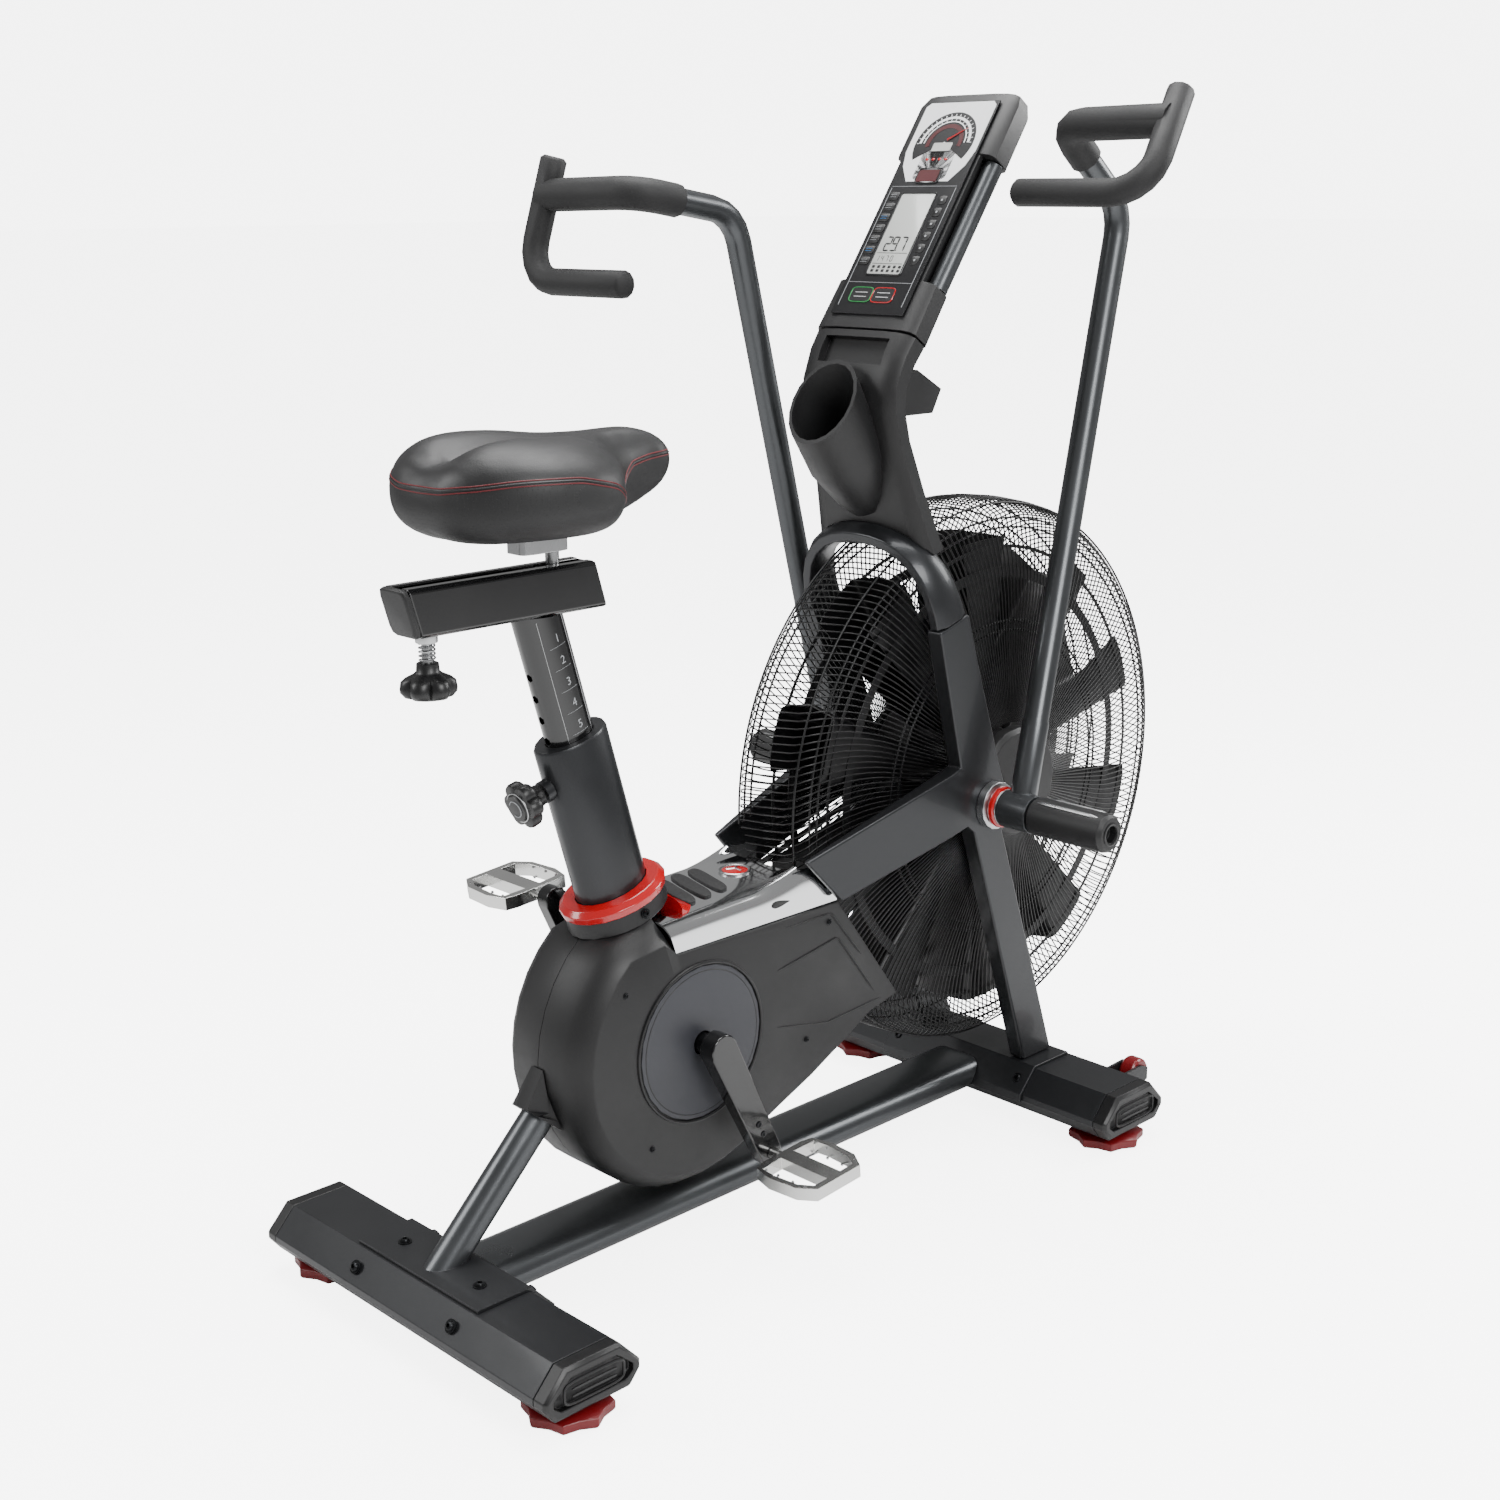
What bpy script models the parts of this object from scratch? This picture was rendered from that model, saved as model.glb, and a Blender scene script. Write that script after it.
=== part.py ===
"""Dual-action air bike: fan-resisted exercise bike with swinging arms.

Units are metres.  +X is forward (fan end), +Y is the rider's left, +Z is up.
Stations along X are measured from the middle of the rear stabiliser; every body
is moved back by MID_X at the end so that the origin is under the middle of the bike.
"""
import math

import bmesh
import bpy
import numpy as np

# ---------------------------------------------------------------- driving dimensions
MID_X = 0.5831          # station under the middle of the whole bike
FLOOR_Z = 0.006         # level of the floor below the stations' zero
GAP = 0.0003            # clearance between touching bodies
FRONT_X = 0.934         # station of the front stabiliser

STAB_TOP = 0.088        # stabiliser beams: section and length
STAB_BOTTOM = 0.031
STAB_HALF_TOP = 0.037
STAB_HALF_MAX = 0.065
STAB_HALF_BOTTOM = 0.050
STAB_HALF_LEN = 0.2427
STAB_WALL = 0.003
CAP_HALF_LEN = 0.263
FOOT_Y = 0.218
FOOT_R = 0.047
PLATE = 0.004           # thickness of the bent bracket plates

BEAM_Z = 0.061          # flat-oval beam joining the stabilisers
BEAM_HALF_W = 0.044
BEAM_HALF_H = 0.020
BEAM_WALL = 0.002

CRANK_X = 0.329         # bottom bracket
CRANK_Z = 0.281
CRANK_LEN = 0.165
CRANK_ANGLE = math.radians(25.0)   # right crank, forward of straight down
CRANK_Y = 0.0912        # inner face of the crank hub
PEDAL_Y0 = 0.137
PEDAL_Y1 = 0.231
PEDAL_TILT = math.radians(5.0)

HOUSING_R = 0.185       # round rear part of the drive housing
HOUSING_FACE_R = 0.165
HOUSING_Y = 0.073
HOUSING_WALL = 0.004
DISC_R = 0.094

FAN_X = 0.8665          # fan axis
FAN_Z = 0.4955
CAGE_R = 0.363
CAGE_WIRE = 0.003
BLADES = 10
BELT_Y = 0.0545         # middle plane of the drive belt
BELT_W = 0.010
PULLEY_R = 0.070
BELT_RATIO = 5.5

PIVOT_X = 0.797         # arm pivot, foot peg axis
PIVOT_Z = 0.4825
ARM_Y = 0.1455          # plane of the bent part of an arm
ARM_R = 0.016
ARM_NEUTRAL = math.radians(-1.25)
ARM_SWING = math.radians(14.75)

SEAT_X = 0.2685         # foot of the seat tube axis
SEAT_Z = 0.440
SEAT_LEAN = math.radians(16.2)
SEAT_TUBE_LEN = 0.2312
SLIDER_Z0 = 0.804
SLIDER_Z1 = 0.857
SLIDER_HALF_W = 0.023

JOINT_X = 0.6717        # lower edge of the console face
JOINT_Z = 1.082
CONSOLE_TILT = math.radians(35.0)

FRAME_Y = 0.118         # outer face of the side frames
FRAME_T = 0.024
ARCH_R = 0.106

SIDES = {"left": 1.0, "right": -1.0}


# ---------------------------------------------------------------- small helpers
def clear_scene():
    """Remove every object of the start-up scene."""
    for item in list(bpy.data.objects):
        bpy.data.objects.remove(item, do_unlink=True)


def material(name, colour, metallic=0.0, roughness=0.5):
    """One plain Principled material."""
    mat = bpy.data.materials.new(name)
    mat.use_nodes = True
    shader = mat.node_tree.nodes["Principled BSDF"]
    shader.inputs["Base Color"].default_value = (*colour, 1.0)
    shader.inputs["Metallic"].default_value = metallic
    shader.inputs["Roughness"].default_value = roughness
    return mat


def body(name, shape, colour, metallic=0.0, roughness=0.5, origin=(0.0, 0.0, 0.0)):
    """Turn (vertices, faces) into one object whose origin is at the given point."""
    points, faces = shape
    points = np.asarray(points, float) - np.asarray(origin, float)
    mesh = bpy.data.meshes.new(name)
    mesh.from_pydata(points.tolist(), [], [list(f) for f in faces])
    work = bmesh.new()
    work.from_mesh(mesh)
    bmesh.ops.recalc_face_normals(work, faces=work.faces)
    work.to_mesh(mesh)
    work.free()
    obj = bpy.data.objects.new(name, mesh)
    bpy.context.collection.objects.link(obj)
    obj.data.materials.append(material(name + "_material", colour, metallic, roughness))
    obj.location = (origin[0] - MID_X, origin[1], origin[2] - FLOOR_Z)
    return obj


def combine(name, first, second, operation):
    """Exact boolean of two (vertices, faces) shapes; returns a new shape."""
    pair = []
    for label, shape in (("a", first), ("b", second)):
        mesh = bpy.data.meshes.new(name + label)
        mesh.from_pydata(np.asarray(shape[0], float).tolist(), [], [list(f) for f in shape[1]])
        work = bmesh.new()
        work.from_mesh(mesh)
        bmesh.ops.recalc_face_normals(work, faces=work.faces)
        work.to_mesh(mesh)
        work.free()
        obj = bpy.data.objects.new(name + label, mesh)
        bpy.context.collection.objects.link(obj)
        pair.append(obj)
    step = pair[0].modifiers.new("step", "BOOLEAN")
    step.operation = operation
    step.solver = "EXACT"
    step.object = pair[1]
    graph = bpy.context.evaluated_depsgraph_get()
    result = bpy.data.meshes.new_from_object(pair[0].evaluated_get(graph))
    points = [tuple(v.co) for v in result.vertices]
    faces = [tuple(p.vertices) for p in result.polygons]
    for obj in pair:
        bpy.data.objects.remove(obj, do_unlink=True)
    return points, faces


def loft(rings, closed=False):
    """Skin equal rings in order; open lofts get flat ends, closed ones meet themselves."""
    count = len(rings[0])
    points = np.vstack([np.asarray(r, float) for r in rings])
    faces = []
    spans = len(rings) if closed else len(rings) - 1
    for k in range(spans):
        a = k * count
        b = ((k + 1) % len(rings)) * count
        for i in range(count):
            j = (i + 1) % count
            faces.append((a + i, a + j, b + j, b + i))
    if not closed:
        faces.append(tuple(range(count - 1, -1, -1)))
        last = (len(rings) - 1) * count
        faces.append(tuple(range(last, last + count)))
    return points, faces


def mirrored(shape, side):
    """Shape for the left side (+1) or its mirror image for the right side (-1)."""
    points = np.array(shape[0], float)
    points[:, 1] *= side
    return points, shape[1]


def prism_y(outline, y0, y1):
    """Solid with an (x, z) outline between two planes across the bike."""
    flat = np.asarray(outline, float)
    rings = [np.column_stack([flat[:, 0], np.full(len(flat), y), flat[:, 1]]) for y in (y0, y1)]
    return loft(rings)


def hollow_y(outer, inner, y0, y1):
    """Open-ended tube with (x, z) outer and inner outlines of equal length."""
    rings = []
    for flat, y in ((outer, y0), (outer, y1), (inner, y1), (inner, y0)):
        flat = np.asarray(flat, float)
        rings.append(np.column_stack([flat[:, 0], np.full(len(flat), y), flat[:, 1]]))
    return loft(rings, closed=True)


def box(low, high):
    """Axis-aligned block."""
    (x0, y0, z0), (x1, y1, z1) = low, high
    rings = [[(x0, y0, z), (x1, y0, z), (x1, y1, z), (x0, y1, z)] for z in (z0, z1)]
    return loft(rings)


def axes_for(direction):
    """Two unit vectors square to a direction and to each other."""
    d = np.asarray(direction, float) / np.linalg.norm(direction)
    guide = np.array([0.0, 1.0, 0.0]) if abs(d[1]) < 0.9 else np.array([1.0, 0.0, 0.0])
    first = np.cross(guide, d)
    first /= np.linalg.norm(first)
    return first, np.cross(d, first)


def turned(profile, centre, direction, sides=24, closed=False, lobes=0, depth=0.0):
    """Revolve (radius, height) points about an axis; lobes make a hand-wheel outline."""
    d = np.asarray(direction, float) / np.linalg.norm(direction)
    first, second = axes_for(d)
    turn = np.linspace(0.0, 2.0 * math.pi, sides, endpoint=False)
    rings = []
    for radius, height in profile:
        wave = 1.0 + depth * np.cos(lobes * turn) if lobes and radius > 0.014 else 1.0
        reach = radius * wave * np.ones(sides)
        ring = np.outer(reach * np.cos(turn), first) + np.outer(reach * np.sin(turn), second)
        rings.append(ring + np.asarray(centre, float) + height * d)
    return loft(rings, closed=closed)


def rounded_path(corners, radii, steps=6):
    """Polyline whose inner corners are replaced by arcs."""
    corners = [np.asarray(c, float) for c in corners]
    path = [corners[0]]
    for k in range(1, len(corners) - 1):
        here = corners[k]
        back = (corners[k - 1] - here) / np.linalg.norm(corners[k - 1] - here)
        ahead = (corners[k + 1] - here) / np.linalg.norm(corners[k + 1] - here)
        half = 0.5 * math.acos(float(np.clip(back @ ahead, -1.0, 1.0)))
        run = radii[k - 1] / math.tan(half)
        middle = back + ahead
        centre = here + middle / np.linalg.norm(middle) * (radii[k - 1] / math.sin(half))
        start = here + back * run - centre
        end = here + ahead * run - centre
        total = math.acos(float(np.clip(start @ end / (radii[k - 1] ** 2), -1.0, 1.0)))
        for part in np.linspace(0.0, 1.0, steps + 1):
            a = math.sin((1.0 - part) * total) / math.sin(total)
            b = math.sin(part * total) / math.sin(total)
            path.append(centre + a * start + b * end)
    path.append(corners[-1])
    return np.array(path)


def swept(path, radius, sides=14, second_radius=None):
    """Round or oval bar along a path, turning smoothly with it."""
    path = np.asarray(path, float)
    radius = np.broadcast_to(np.asarray(radius, float), (len(path),))
    across = radius if second_radius is None else np.broadcast_to(second_radius, (len(path),))
    tangents = np.gradient(path, axis=0)
    tangents /= np.linalg.norm(tangents, axis=1)[:, None]
    first, _ = axes_for(tangents[0])
    turn = np.linspace(0.0, 2.0 * math.pi, sides, endpoint=False)
    rings = []
    for k, point in enumerate(path):
        first = first - tangents[k] * (first @ tangents[k])
        first /= np.linalg.norm(first)
        second = np.cross(tangents[k], first)
        ring = np.outer(radius[k] * np.cos(turn), first)
        rings.append(point + ring + np.outer(across[k] * np.sin(turn), second))
    return loft(rings)


def oval(half_a, half_b, sides=24, power=2.0):
    """Closed oval; a higher power gives a rounded rectangle."""
    turn = np.linspace(0.0, 2.0 * math.pi, sides, endpoint=False) + math.pi / sides
    c, s = np.cos(turn), np.sin(turn)
    a = half_a * np.sign(c) * np.abs(c) ** (2.0 / power)
    b = half_b * np.sign(s) * np.abs(s) ** (2.0 / power)
    return np.column_stack([a, b])


def arc(centre, radius, start, end, count):
    """Points on an arc in the (x, z) plane, angles in degrees."""
    turn = np.radians(np.linspace(start, end, count))
    return [(centre[0] + radius * math.cos(t), centre[1] + radius * math.sin(t)) for t in turn]


# ---------------------------------------------------------------- base
def stabiliser_outline(x, inset=0.0):
    """Eight-cornered (x, z) section of a stabiliser beam."""
    top, low = STAB_TOP - inset, STAB_BOTTOM + inset
    a, b, c = STAB_HALF_TOP - 0.5 * inset, STAB_HALF_MAX - inset, STAB_HALF_BOTTOM - 0.5 * inset
    half = [(a, top), (b, 0.058), (b, 0.050), (c, low)]
    return [(x + u, z) for u, z in half] + [(x - u, z) for u, z in reversed(half)]


def stabiliser(x):
    """Hollow stabiliser beam across the bike."""
    return hollow_y(stabiliser_outline(x), stabiliser_outline(x, STAB_WALL),
                    -STAB_HALF_LEN, STAB_HALF_LEN)


def front_stabiliser():
    """Front beam with the two forks that carry the transport wheels."""
    shape = stabiliser(FRONT_X)
    cheek = [(FRONT_X + 0.0395, 0.0835), (FRONT_X + 0.0790, 0.0850), (FRONT_X + 0.0930, 0.0790),
             (FRONT_X + 0.0930, 0.0620), (FRONT_X + 0.0630, 0.0510)]
    for side in SIDES.values():
        for y in (WHEEL_Y - 0.0165, WHEEL_Y + 0.0125):
            plate = mirrored(prism_y(cheek, y, y + 0.004), side)
            shape = combine("fork", shape, plate, "UNION")
        pin = turned([(0.004, -0.0145), (0.004, 0.0145)], (WHEEL_X, side * WHEEL_Y, WHEEL_Z),
                     (0.0, 1.0, 0.0), 8)
        shape = combine("pin", shape, pin, "UNION")
    return shape


WHEEL_X = FRONT_X + 0.0825
WHEEL_Y = 0.200
WHEEL_Z = 0.0715
WHEEL_R = 0.020


def end_cap(x):
    """Plastic end plug with a recessed face, for the left end."""
    levels = ((0.0, STAB_HALF_LEN + GAP), (0.0, CAP_HALF_LEN - 0.004), (0.004, CAP_HALF_LEN),
              (0.012, CAP_HALF_LEN), (0.012, CAP_HALF_LEN - 0.008))
    rings = []
    for inset, y in levels:
        flat = np.array(stabiliser_outline(x, inset))
        rings.append(np.column_stack([flat[:, 0], np.full(len(flat), y), flat[:, 1]]))
    return loft(rings)


def levelling_foot(x, y):
    """Eight-lobed levelling foot with its stud."""
    profile = [(FOOT_R * 0.94, FLOOR_Z), (FOOT_R, FLOOR_Z + 0.003), (FOOT_R, 0.0180),
               (FOOT_R * 0.86, 0.0215), (0.0135, 0.0250), (0.0075, 0.0250),
               (0.0075, STAB_BOTTOM - GAP)]
    return turned(profile, (x, y, 0.0), (0.0, 0.0, 1.0), 16, lobes=8, depth=0.075)


def main_beam():
    """Flat-oval beam; its ends are cut to the slope of the stabiliser sides."""
    corner = np.radians(np.linspace(-90.0, 90.0, 8))
    flat = BEAM_HALF_W - BEAM_HALF_H

    def section(inset):
        right = [(flat + (BEAM_HALF_H - inset) * math.cos(t), (BEAM_HALF_H - inset) * math.sin(t))
                 for t in corner]
        return np.array(right + [(-y, -z) for y, z in right])

    def ring(inset, front):
        yz = section(inset)
        z = BEAM_Z + yz[:, 1]
        lean = 0.0718 - 0.9500 * np.maximum(z - 0.0597, 0.0)
        x = FRONT_X - lean if front else lean
        return np.column_stack([x, yz[:, 0], z])

    rings = [ring(0.0, False), ring(0.0, True), ring(BEAM_WALL, True), ring(BEAM_WALL, False)]
    return loft(rings, closed=True)


def bent_plate(half_width):
    """Plate lying on a stabiliser and folded down its sloping side (rear bracket)."""
    outline = [(-0.034, STAB_TOP + GAP), (0.0371, STAB_TOP + GAP), (0.0654, 0.0582),
               (0.0654, 0.0480), (0.0696, 0.0480), (0.0696, 0.0597), (0.0389, STAB_TOP + PLATE),
               (-0.034, STAB_TOP + PLATE)]
    return outline, half_width


def rear_strut():
    """Bracket plate, sloping strut and the socket that meets the drive housing."""
    tube = swept([(-0.0254, 0.0, 0.0595), (0.0500, 0.0, 0.1339), (0.1490, 0.0, 0.2315)], 0.0205, 14,
                 0.0190)
    rings = []
    for y, upper, inset in ((-0.0235, 199.0, 0.004), (-0.0100, 179.0, 0.0), (0.0100, 179.0, 0.0),
                            (0.0235, 199.0, 0.004)):
        rim = arc((CRANK_X, CRANK_Z), HOUSING_R, 219.0, upper, 2)
        core = arc((CRANK_X, CRANK_Z), 0.150, 219.0, upper, 2)
        flat = [(0.1190 + inset, 0.2407 - inset), (0.1610, 0.2050), rim[0], core[0], core[1], rim[1]]
        rings.append([(x, y, z) for x, z in flat])
    shape = combine("socket", tube, loft(rings), "UNION")
    fit = turned([(HOUSING_R + 0.0010, -0.05), (HOUSING_R + 0.0010, 0.05)],
                 (CRANK_X, 0.0, CRANK_Z), (0.0, 1.0, 0.0), 64)
    shape = combine("fit", shape, fit, "DIFFERENCE")
    below = box((-0.08, -0.05, 0.0), (0.10, 0.05, 0.0900))
    shape = combine("foot", shape, below, "DIFFERENCE")
    outline, half = bent_plate(0.112)
    return combine("plate", shape, prism_y(outline, -half, half), "UNION")


def front_bracket():
    """Plate under the front legs, folded down the rear side of the front beam."""
    outline, half = bent_plate(0.125)
    return prism_y([(FRONT_X - x, z) for x, z in outline], -half, half)


def transport_wheel(side):
    """Small wheel in the front fork."""
    profile = [(0.0045, -0.0115), (WHEEL_R - 0.003, -0.0115), (WHEEL_R, -0.008),
               (WHEEL_R, 0.008), (WHEEL_R - 0.003, 0.0115), (0.0045, 0.0115)]
    return turned(profile, (WHEEL_X, side * WHEEL_Y, WHEEL_Z), (0.0, 1.0, 0.0), 16, closed=True)


# ---------------------------------------------------------------- frame around the fan
def frame_offset(x, z):
    """How far the side frame stands from the middle plane at a point."""
    rear = 0.0350 * np.clip((0.72 - x) / 0.22, 0.0, 1.0)
    foot = 0.0170 * np.clip((0.44 - z) / 0.35, 0.0, 1.0)
    return FRAME_Y - rear - foot


def side_frame():
    """Rear rail, front leg and lower part of the upper rail as one weldment (left)."""
    outline = np.array([
        (0.693, 0.7205), (0.715, 0.631), (0.737, 0.541), (0.720, 0.5352), (0.496, 0.4640),
        (0.552, 0.4040), (0.720, 0.4535), (0.752, 0.4610), (0.764, 0.452), (0.830, 0.280),
        (0.900, 0.0927), (0.960, 0.0927), (0.888, 0.272), (0.822, 0.440), (0.828, 0.470),
        (0.826, 0.500), (0.812, 0.535), (0.766, 0.673), (0.7465, 0.737)])
    y = frame_offset(outline[:, 0], outline[:, 1])
    thick = FRAME_T - 0.0160 * np.clip((0.72 - outline[:, 0]) / 0.22, 0.0, 1.0)
    upper = outline[:, 1] > 0.60
    thick[upper] = FRAME_T
    y[upper] = FRAME_Y
    rings = [np.column_stack([outline[:, 0], y - drop, outline[:, 1]])
             for drop in (np.zeros(len(y)), thick)]
    return loft(rings)


ARCH_LEAN = math.radians(16.9)
ARCH_UP = np.array([-math.sin(ARCH_LEAN), 0.0, math.cos(ARCH_LEAN)])
ARCH_WIDE = np.array([math.cos(ARCH_LEAN), 0.0, math.sin(ARCH_LEAN)])
ARCH_BASE = np.array([0.7198, 0.0, 0.7288]) + ARCH_UP * 0.0006


def arch_station(turn):
    """Middle point and outward direction of the arch at an angle over the fan."""
    c, v = math.cos(turn), math.sin(turn)
    stretch = (abs(c) ** 2.5 + v ** 2.5) ** (-1.0 / 2.5)
    across = np.array([0.0, c, 0.0])
    centre = ARCH_BASE + (across + v * ARCH_UP) * stretch * ARCH_R + ARCH_UP * 0.004 * v
    out = across * abs(c * stretch) ** 0.5 + v * ARCH_UP
    return centre, out / np.linalg.norm(out)


def arch():
    """Inverted U that joins the two upper rails over the fan."""
    rings = []
    for turn in np.radians(np.linspace(0.0, 180.0, 17)):
        centre, out = arch_station(turn)
        front, back = 0.0270 - 0.0100 * math.sin(turn), 0.0270 - 0.0040 * math.sin(turn)
        corners = ((0.5, front), (-0.5, front), (-1.0, 0.5 * front), (-1.0, -0.5 * back),
                   (-0.5, -back), (0.5, -back), (1.0, -0.5 * back), (1.0, 0.5 * front))
        rings.append([centre + out * a * 0.5 * FRAME_T + ARCH_WIDE * b for a, b in corners])
    return loft(rings)


def arch_space():
    """Solid that fills everything inside the arch, used to fit the neck over it."""
    edge = []
    for turn in np.radians(np.linspace(0.0, 180.0, 17)):
        centre, out = arch_station(turn)
        edge.append(centre + out * (0.5 * FRAME_T + 0.0008))
    edge = [edge[0] - ARCH_UP * 0.08] + edge + [edge[-1] - ARCH_UP * 0.08]
    return loft([[p + ARCH_WIDE * shift for p in edge] for shift in (-0.12, 0.12)])


def pivot_boss():
    """Boss, ring and shaft that carry an arm and its foot peg (left)."""
    profile = [(0.031, 0.1184), (0.031, 0.1300), (0.024, 0.1320), (0.024, 0.1430),
               (0.010, 0.1430), (0.010, 0.1905)]
    return turned(profile, (PIVOT_X, 0.0, PIVOT_Z), (0.0, 1.0, 0.0), 16)


def foot_peg():
    """Foot peg on the end of the pivot shaft (left)."""
    profile = [(0.0215, 0.1910), (0.0245, 0.1935), (0.0245, 0.3010), (0.0205, 0.3065),
               (0.0110, 0.3065), (0.0110, 0.2960)]
    return turned(profile, (PIVOT_X, 0.0, PIVOT_Z), (0.0, 1.0, 0.0), 16)


# ---------------------------------------------------------------- arms
def turned_arm(shape, angle, side):
    """Swing a neutral arm shape forward by an angle and put it on its pivot."""
    points = np.array(shape[0], float)
    x = points[:, 0] * math.cos(angle) + points[:, 2] * math.sin(angle)
    z = -points[:, 0] * math.sin(angle) + points[:, 2] * math.cos(angle)
    return np.column_stack([PIVOT_X + x, side * points[:, 1], PIVOT_Z + z]), shape[1]


GRIP_START = (-0.0707, ARM_Y, 0.8005)
ARM_BEND = (0.0133, ARM_Y, 0.7609)
GRIP_BEND = (-0.1270, ARM_Y, 0.8271)
GRIP_CORNER = (-0.1350, 0.3085, 0.8265)
GRIP_TIP = (-0.1165, 0.2985, 0.8640)
GRIP_LOW = (-0.1812, 0.3230, 0.7341)
GRIP_END = (-0.1815, 0.1420, 0.7347)


def arm_shape():
    """Socket and bent tube, swinging plane along X, neutral position."""
    axis = (0.0, 1.0, 0.0)
    ring = turned([(0.0105, 0.1440), (0.0245, 0.1440), (0.0245, 0.1895), (0.0105, 0.1895)],
                  (0.0, 0.0, 0.0), axis, 16, closed=True)
    foot = np.array([0.0060, 0.1620, 0.0000])
    rise = np.array(ARM_BEND) - foot
    rise /= np.linalg.norm(rise)
    path = [foot, foot + rise * 0.006, foot + rise * 0.115, foot + rise * 0.118]
    bend = rounded_path([path[-1], ARM_BEND, GRIP_START], [0.055], 4)
    path = np.vstack([path, bend[1:]])
    radius = np.full(len(path), ARM_R)
    radius[:3] = (0.0145, 0.0172, 0.0172)
    shape = combine("arm", ring, swept(path, radius, 12), "UNION")
    bore = turned([(0.0105, 0.1300), (0.0105, 0.2000)], (0.0, 0.0, 0.0), axis, 16)
    return combine("arm_bore", shape, bore, "DIFFERENCE")


def grip_shape():
    """Foam grip: crossbar, upright tip and dropped lower bar, neutral position."""
    step = np.array(GRIP_BEND) - np.array(GRIP_START)
    start = np.array(GRIP_START) + step / np.linalg.norm(step) * 0.0012
    bar = swept(rounded_path([start, GRIP_BEND, GRIP_CORNER], [0.034], 4), 0.020, 12)
    path = rounded_path([GRIP_TIP, GRIP_LOW, GRIP_END], [0.042], 5)
    head = np.array(GRIP_TIP) - np.array(GRIP_LOW)
    head /= np.linalg.norm(head)
    path = np.vstack([path[0] + head * 0.0040, path, path[-1] - (0.0, 0.005, 0.0)])
    radius = np.full(len(path), 0.0165)
    radius[[0, -1]] = 0.012
    return combine("grip", bar, swept(path, radius, 12), "UNION")


# ---------------------------------------------------------------- seat
def seat_point(along, forward, across=0.0):
    """Point given along the seat axis, forward of it and across the bike."""
    x = SEAT_X - math.sin(SEAT_LEAN) * along + math.cos(SEAT_LEAN) * forward
    z = SEAT_Z + math.cos(SEAT_LEAN) * along + math.sin(SEAT_LEAN) * forward
    return (x, across, z)


def seat_ring(half_a, half_b, along, sides=20):
    """Oval ring square to the seat axis."""
    return [seat_point(along, a, b) for a, b in oval(half_a, half_b, sides)]


def seat_tube():
    """Oval seat tube with a guide lip at the top and the boss of the locking knob."""
    rings = [seat_ring(0.0470, 0.0330, 0.0010), seat_ring(0.0470, 0.0330, SEAT_TUBE_LEN - 0.003),
             seat_ring(0.0455, 0.0315, SEAT_TUBE_LEN), seat_ring(0.0316, 0.0221, SEAT_TUBE_LEN),
             seat_ring(0.0316, 0.0221, 0.205), seat_ring(0.0440, 0.0300, 0.205),
             seat_ring(0.0440, 0.0300, 0.0010)]
    shape = loft(rings, closed=True)
    back = np.array(seat_point(0.0, -1.0)) - np.array(seat_point(0.0, 0.0))
    centre = seat_point(0.186, 0.0)
    boss = turned([(0.013, 0.0455), (0.013, 0.0560)], centre, back, 12)
    shape = combine("boss", shape, boss, "UNION")
    bore = turned([(0.0056, 0.0350), (0.0056, 0.0600)], centre, back, 10)
    return combine("bore", shape, bore, "DIFFERENCE")


def seat_post():
    """Oval post with the row of locking holes; its top meets the slider."""
    rings = []
    for half_a, half_b, top in ((0.0310, 0.0215, False), (0.0310, 0.0215, True),
                                (0.0288, 0.0193, True), (0.0288, 0.0193, False)):
        ring = []
        for a, b in oval(half_a, half_b, 20):
            along = (SLIDER_Z0 - 0.0004 - SEAT_Z - math.sin(SEAT_LEAN) * a) / math.cos(SEAT_LEAN)
            ring.append(seat_point(along if top else 0.150, a, b))
        rings.append(ring)
    shape = loft(rings, closed=True)
    back = np.array(seat_point(0.0, -1.0)) - np.array(seat_point(0.0, 0.0))
    for k in range(6):
        hole = turned([(0.0050, 0.020), (0.0050, 0.035)], seat_point(0.186 + 0.026 * k, 0.0),
                      back, 6)
        shape = combine("hole", shape, hole, "DIFFERENCE")
    return shape


def post_knob():
    """Lobed locking knob and its pin on the seat tube."""
    back = np.array(seat_point(0.0, -1.0)) - np.array(seat_point(0.0, 0.0))
    profile = [(0.0050, 0.0322), (0.0050, 0.0566), (0.0105, 0.0566), (0.0105, 0.0660),
               (0.0135, 0.0680), (0.0240, 0.0760), (0.0250, 0.0880), (0.0215, 0.0960)]
    return turned(profile, seat_point(0.186, 0.0), back, 18, lobes=6, depth=0.10)


def seat_collar():
    """Plastic base and collar around the foot of the seat tube."""
    rings = [seat_ring(0.0650, 0.0530, 0.0006), seat_ring(0.0620, 0.0500, 0.0205),
             seat_ring(0.0670, 0.0545, 0.0215), seat_ring(0.0685, 0.0555, 0.0300),
             seat_ring(0.0620, 0.0490, 0.0365), seat_ring(0.0475, 0.0335, 0.0365),
             seat_ring(0.0475, 0.0335, 0.0006)]
    return loft(rings, closed=True)


def slider_outline():
    """C-shaped (y, z) section: box channel with a slot along its top."""
    w, z0, z1, t, slot, r = SLIDER_HALF_W, SLIDER_Z0, SLIDER_Z1, 0.003, 0.0082, 0.004
    half = [(slot, z1), (w - r, z1), (w, z1 - r), (w, z0 + r), (w - r, z0)]
    inner = [(w - t, z0 + t), (w - t, z1 - t), (slot, z1 - t)]
    left = [(-y, z) for y, z in reversed(half)]
    left_inner = [(-y, z) for y, z in reversed(inner)]
    return half + left + left_inner + inner


def slider_shear(z):
    """Set-back of the slanted channel ends at a height."""
    return (0.5 * (SLIDER_Z0 + SLIDER_Z1) - z) * math.tan(SEAT_LEAN)


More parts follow.
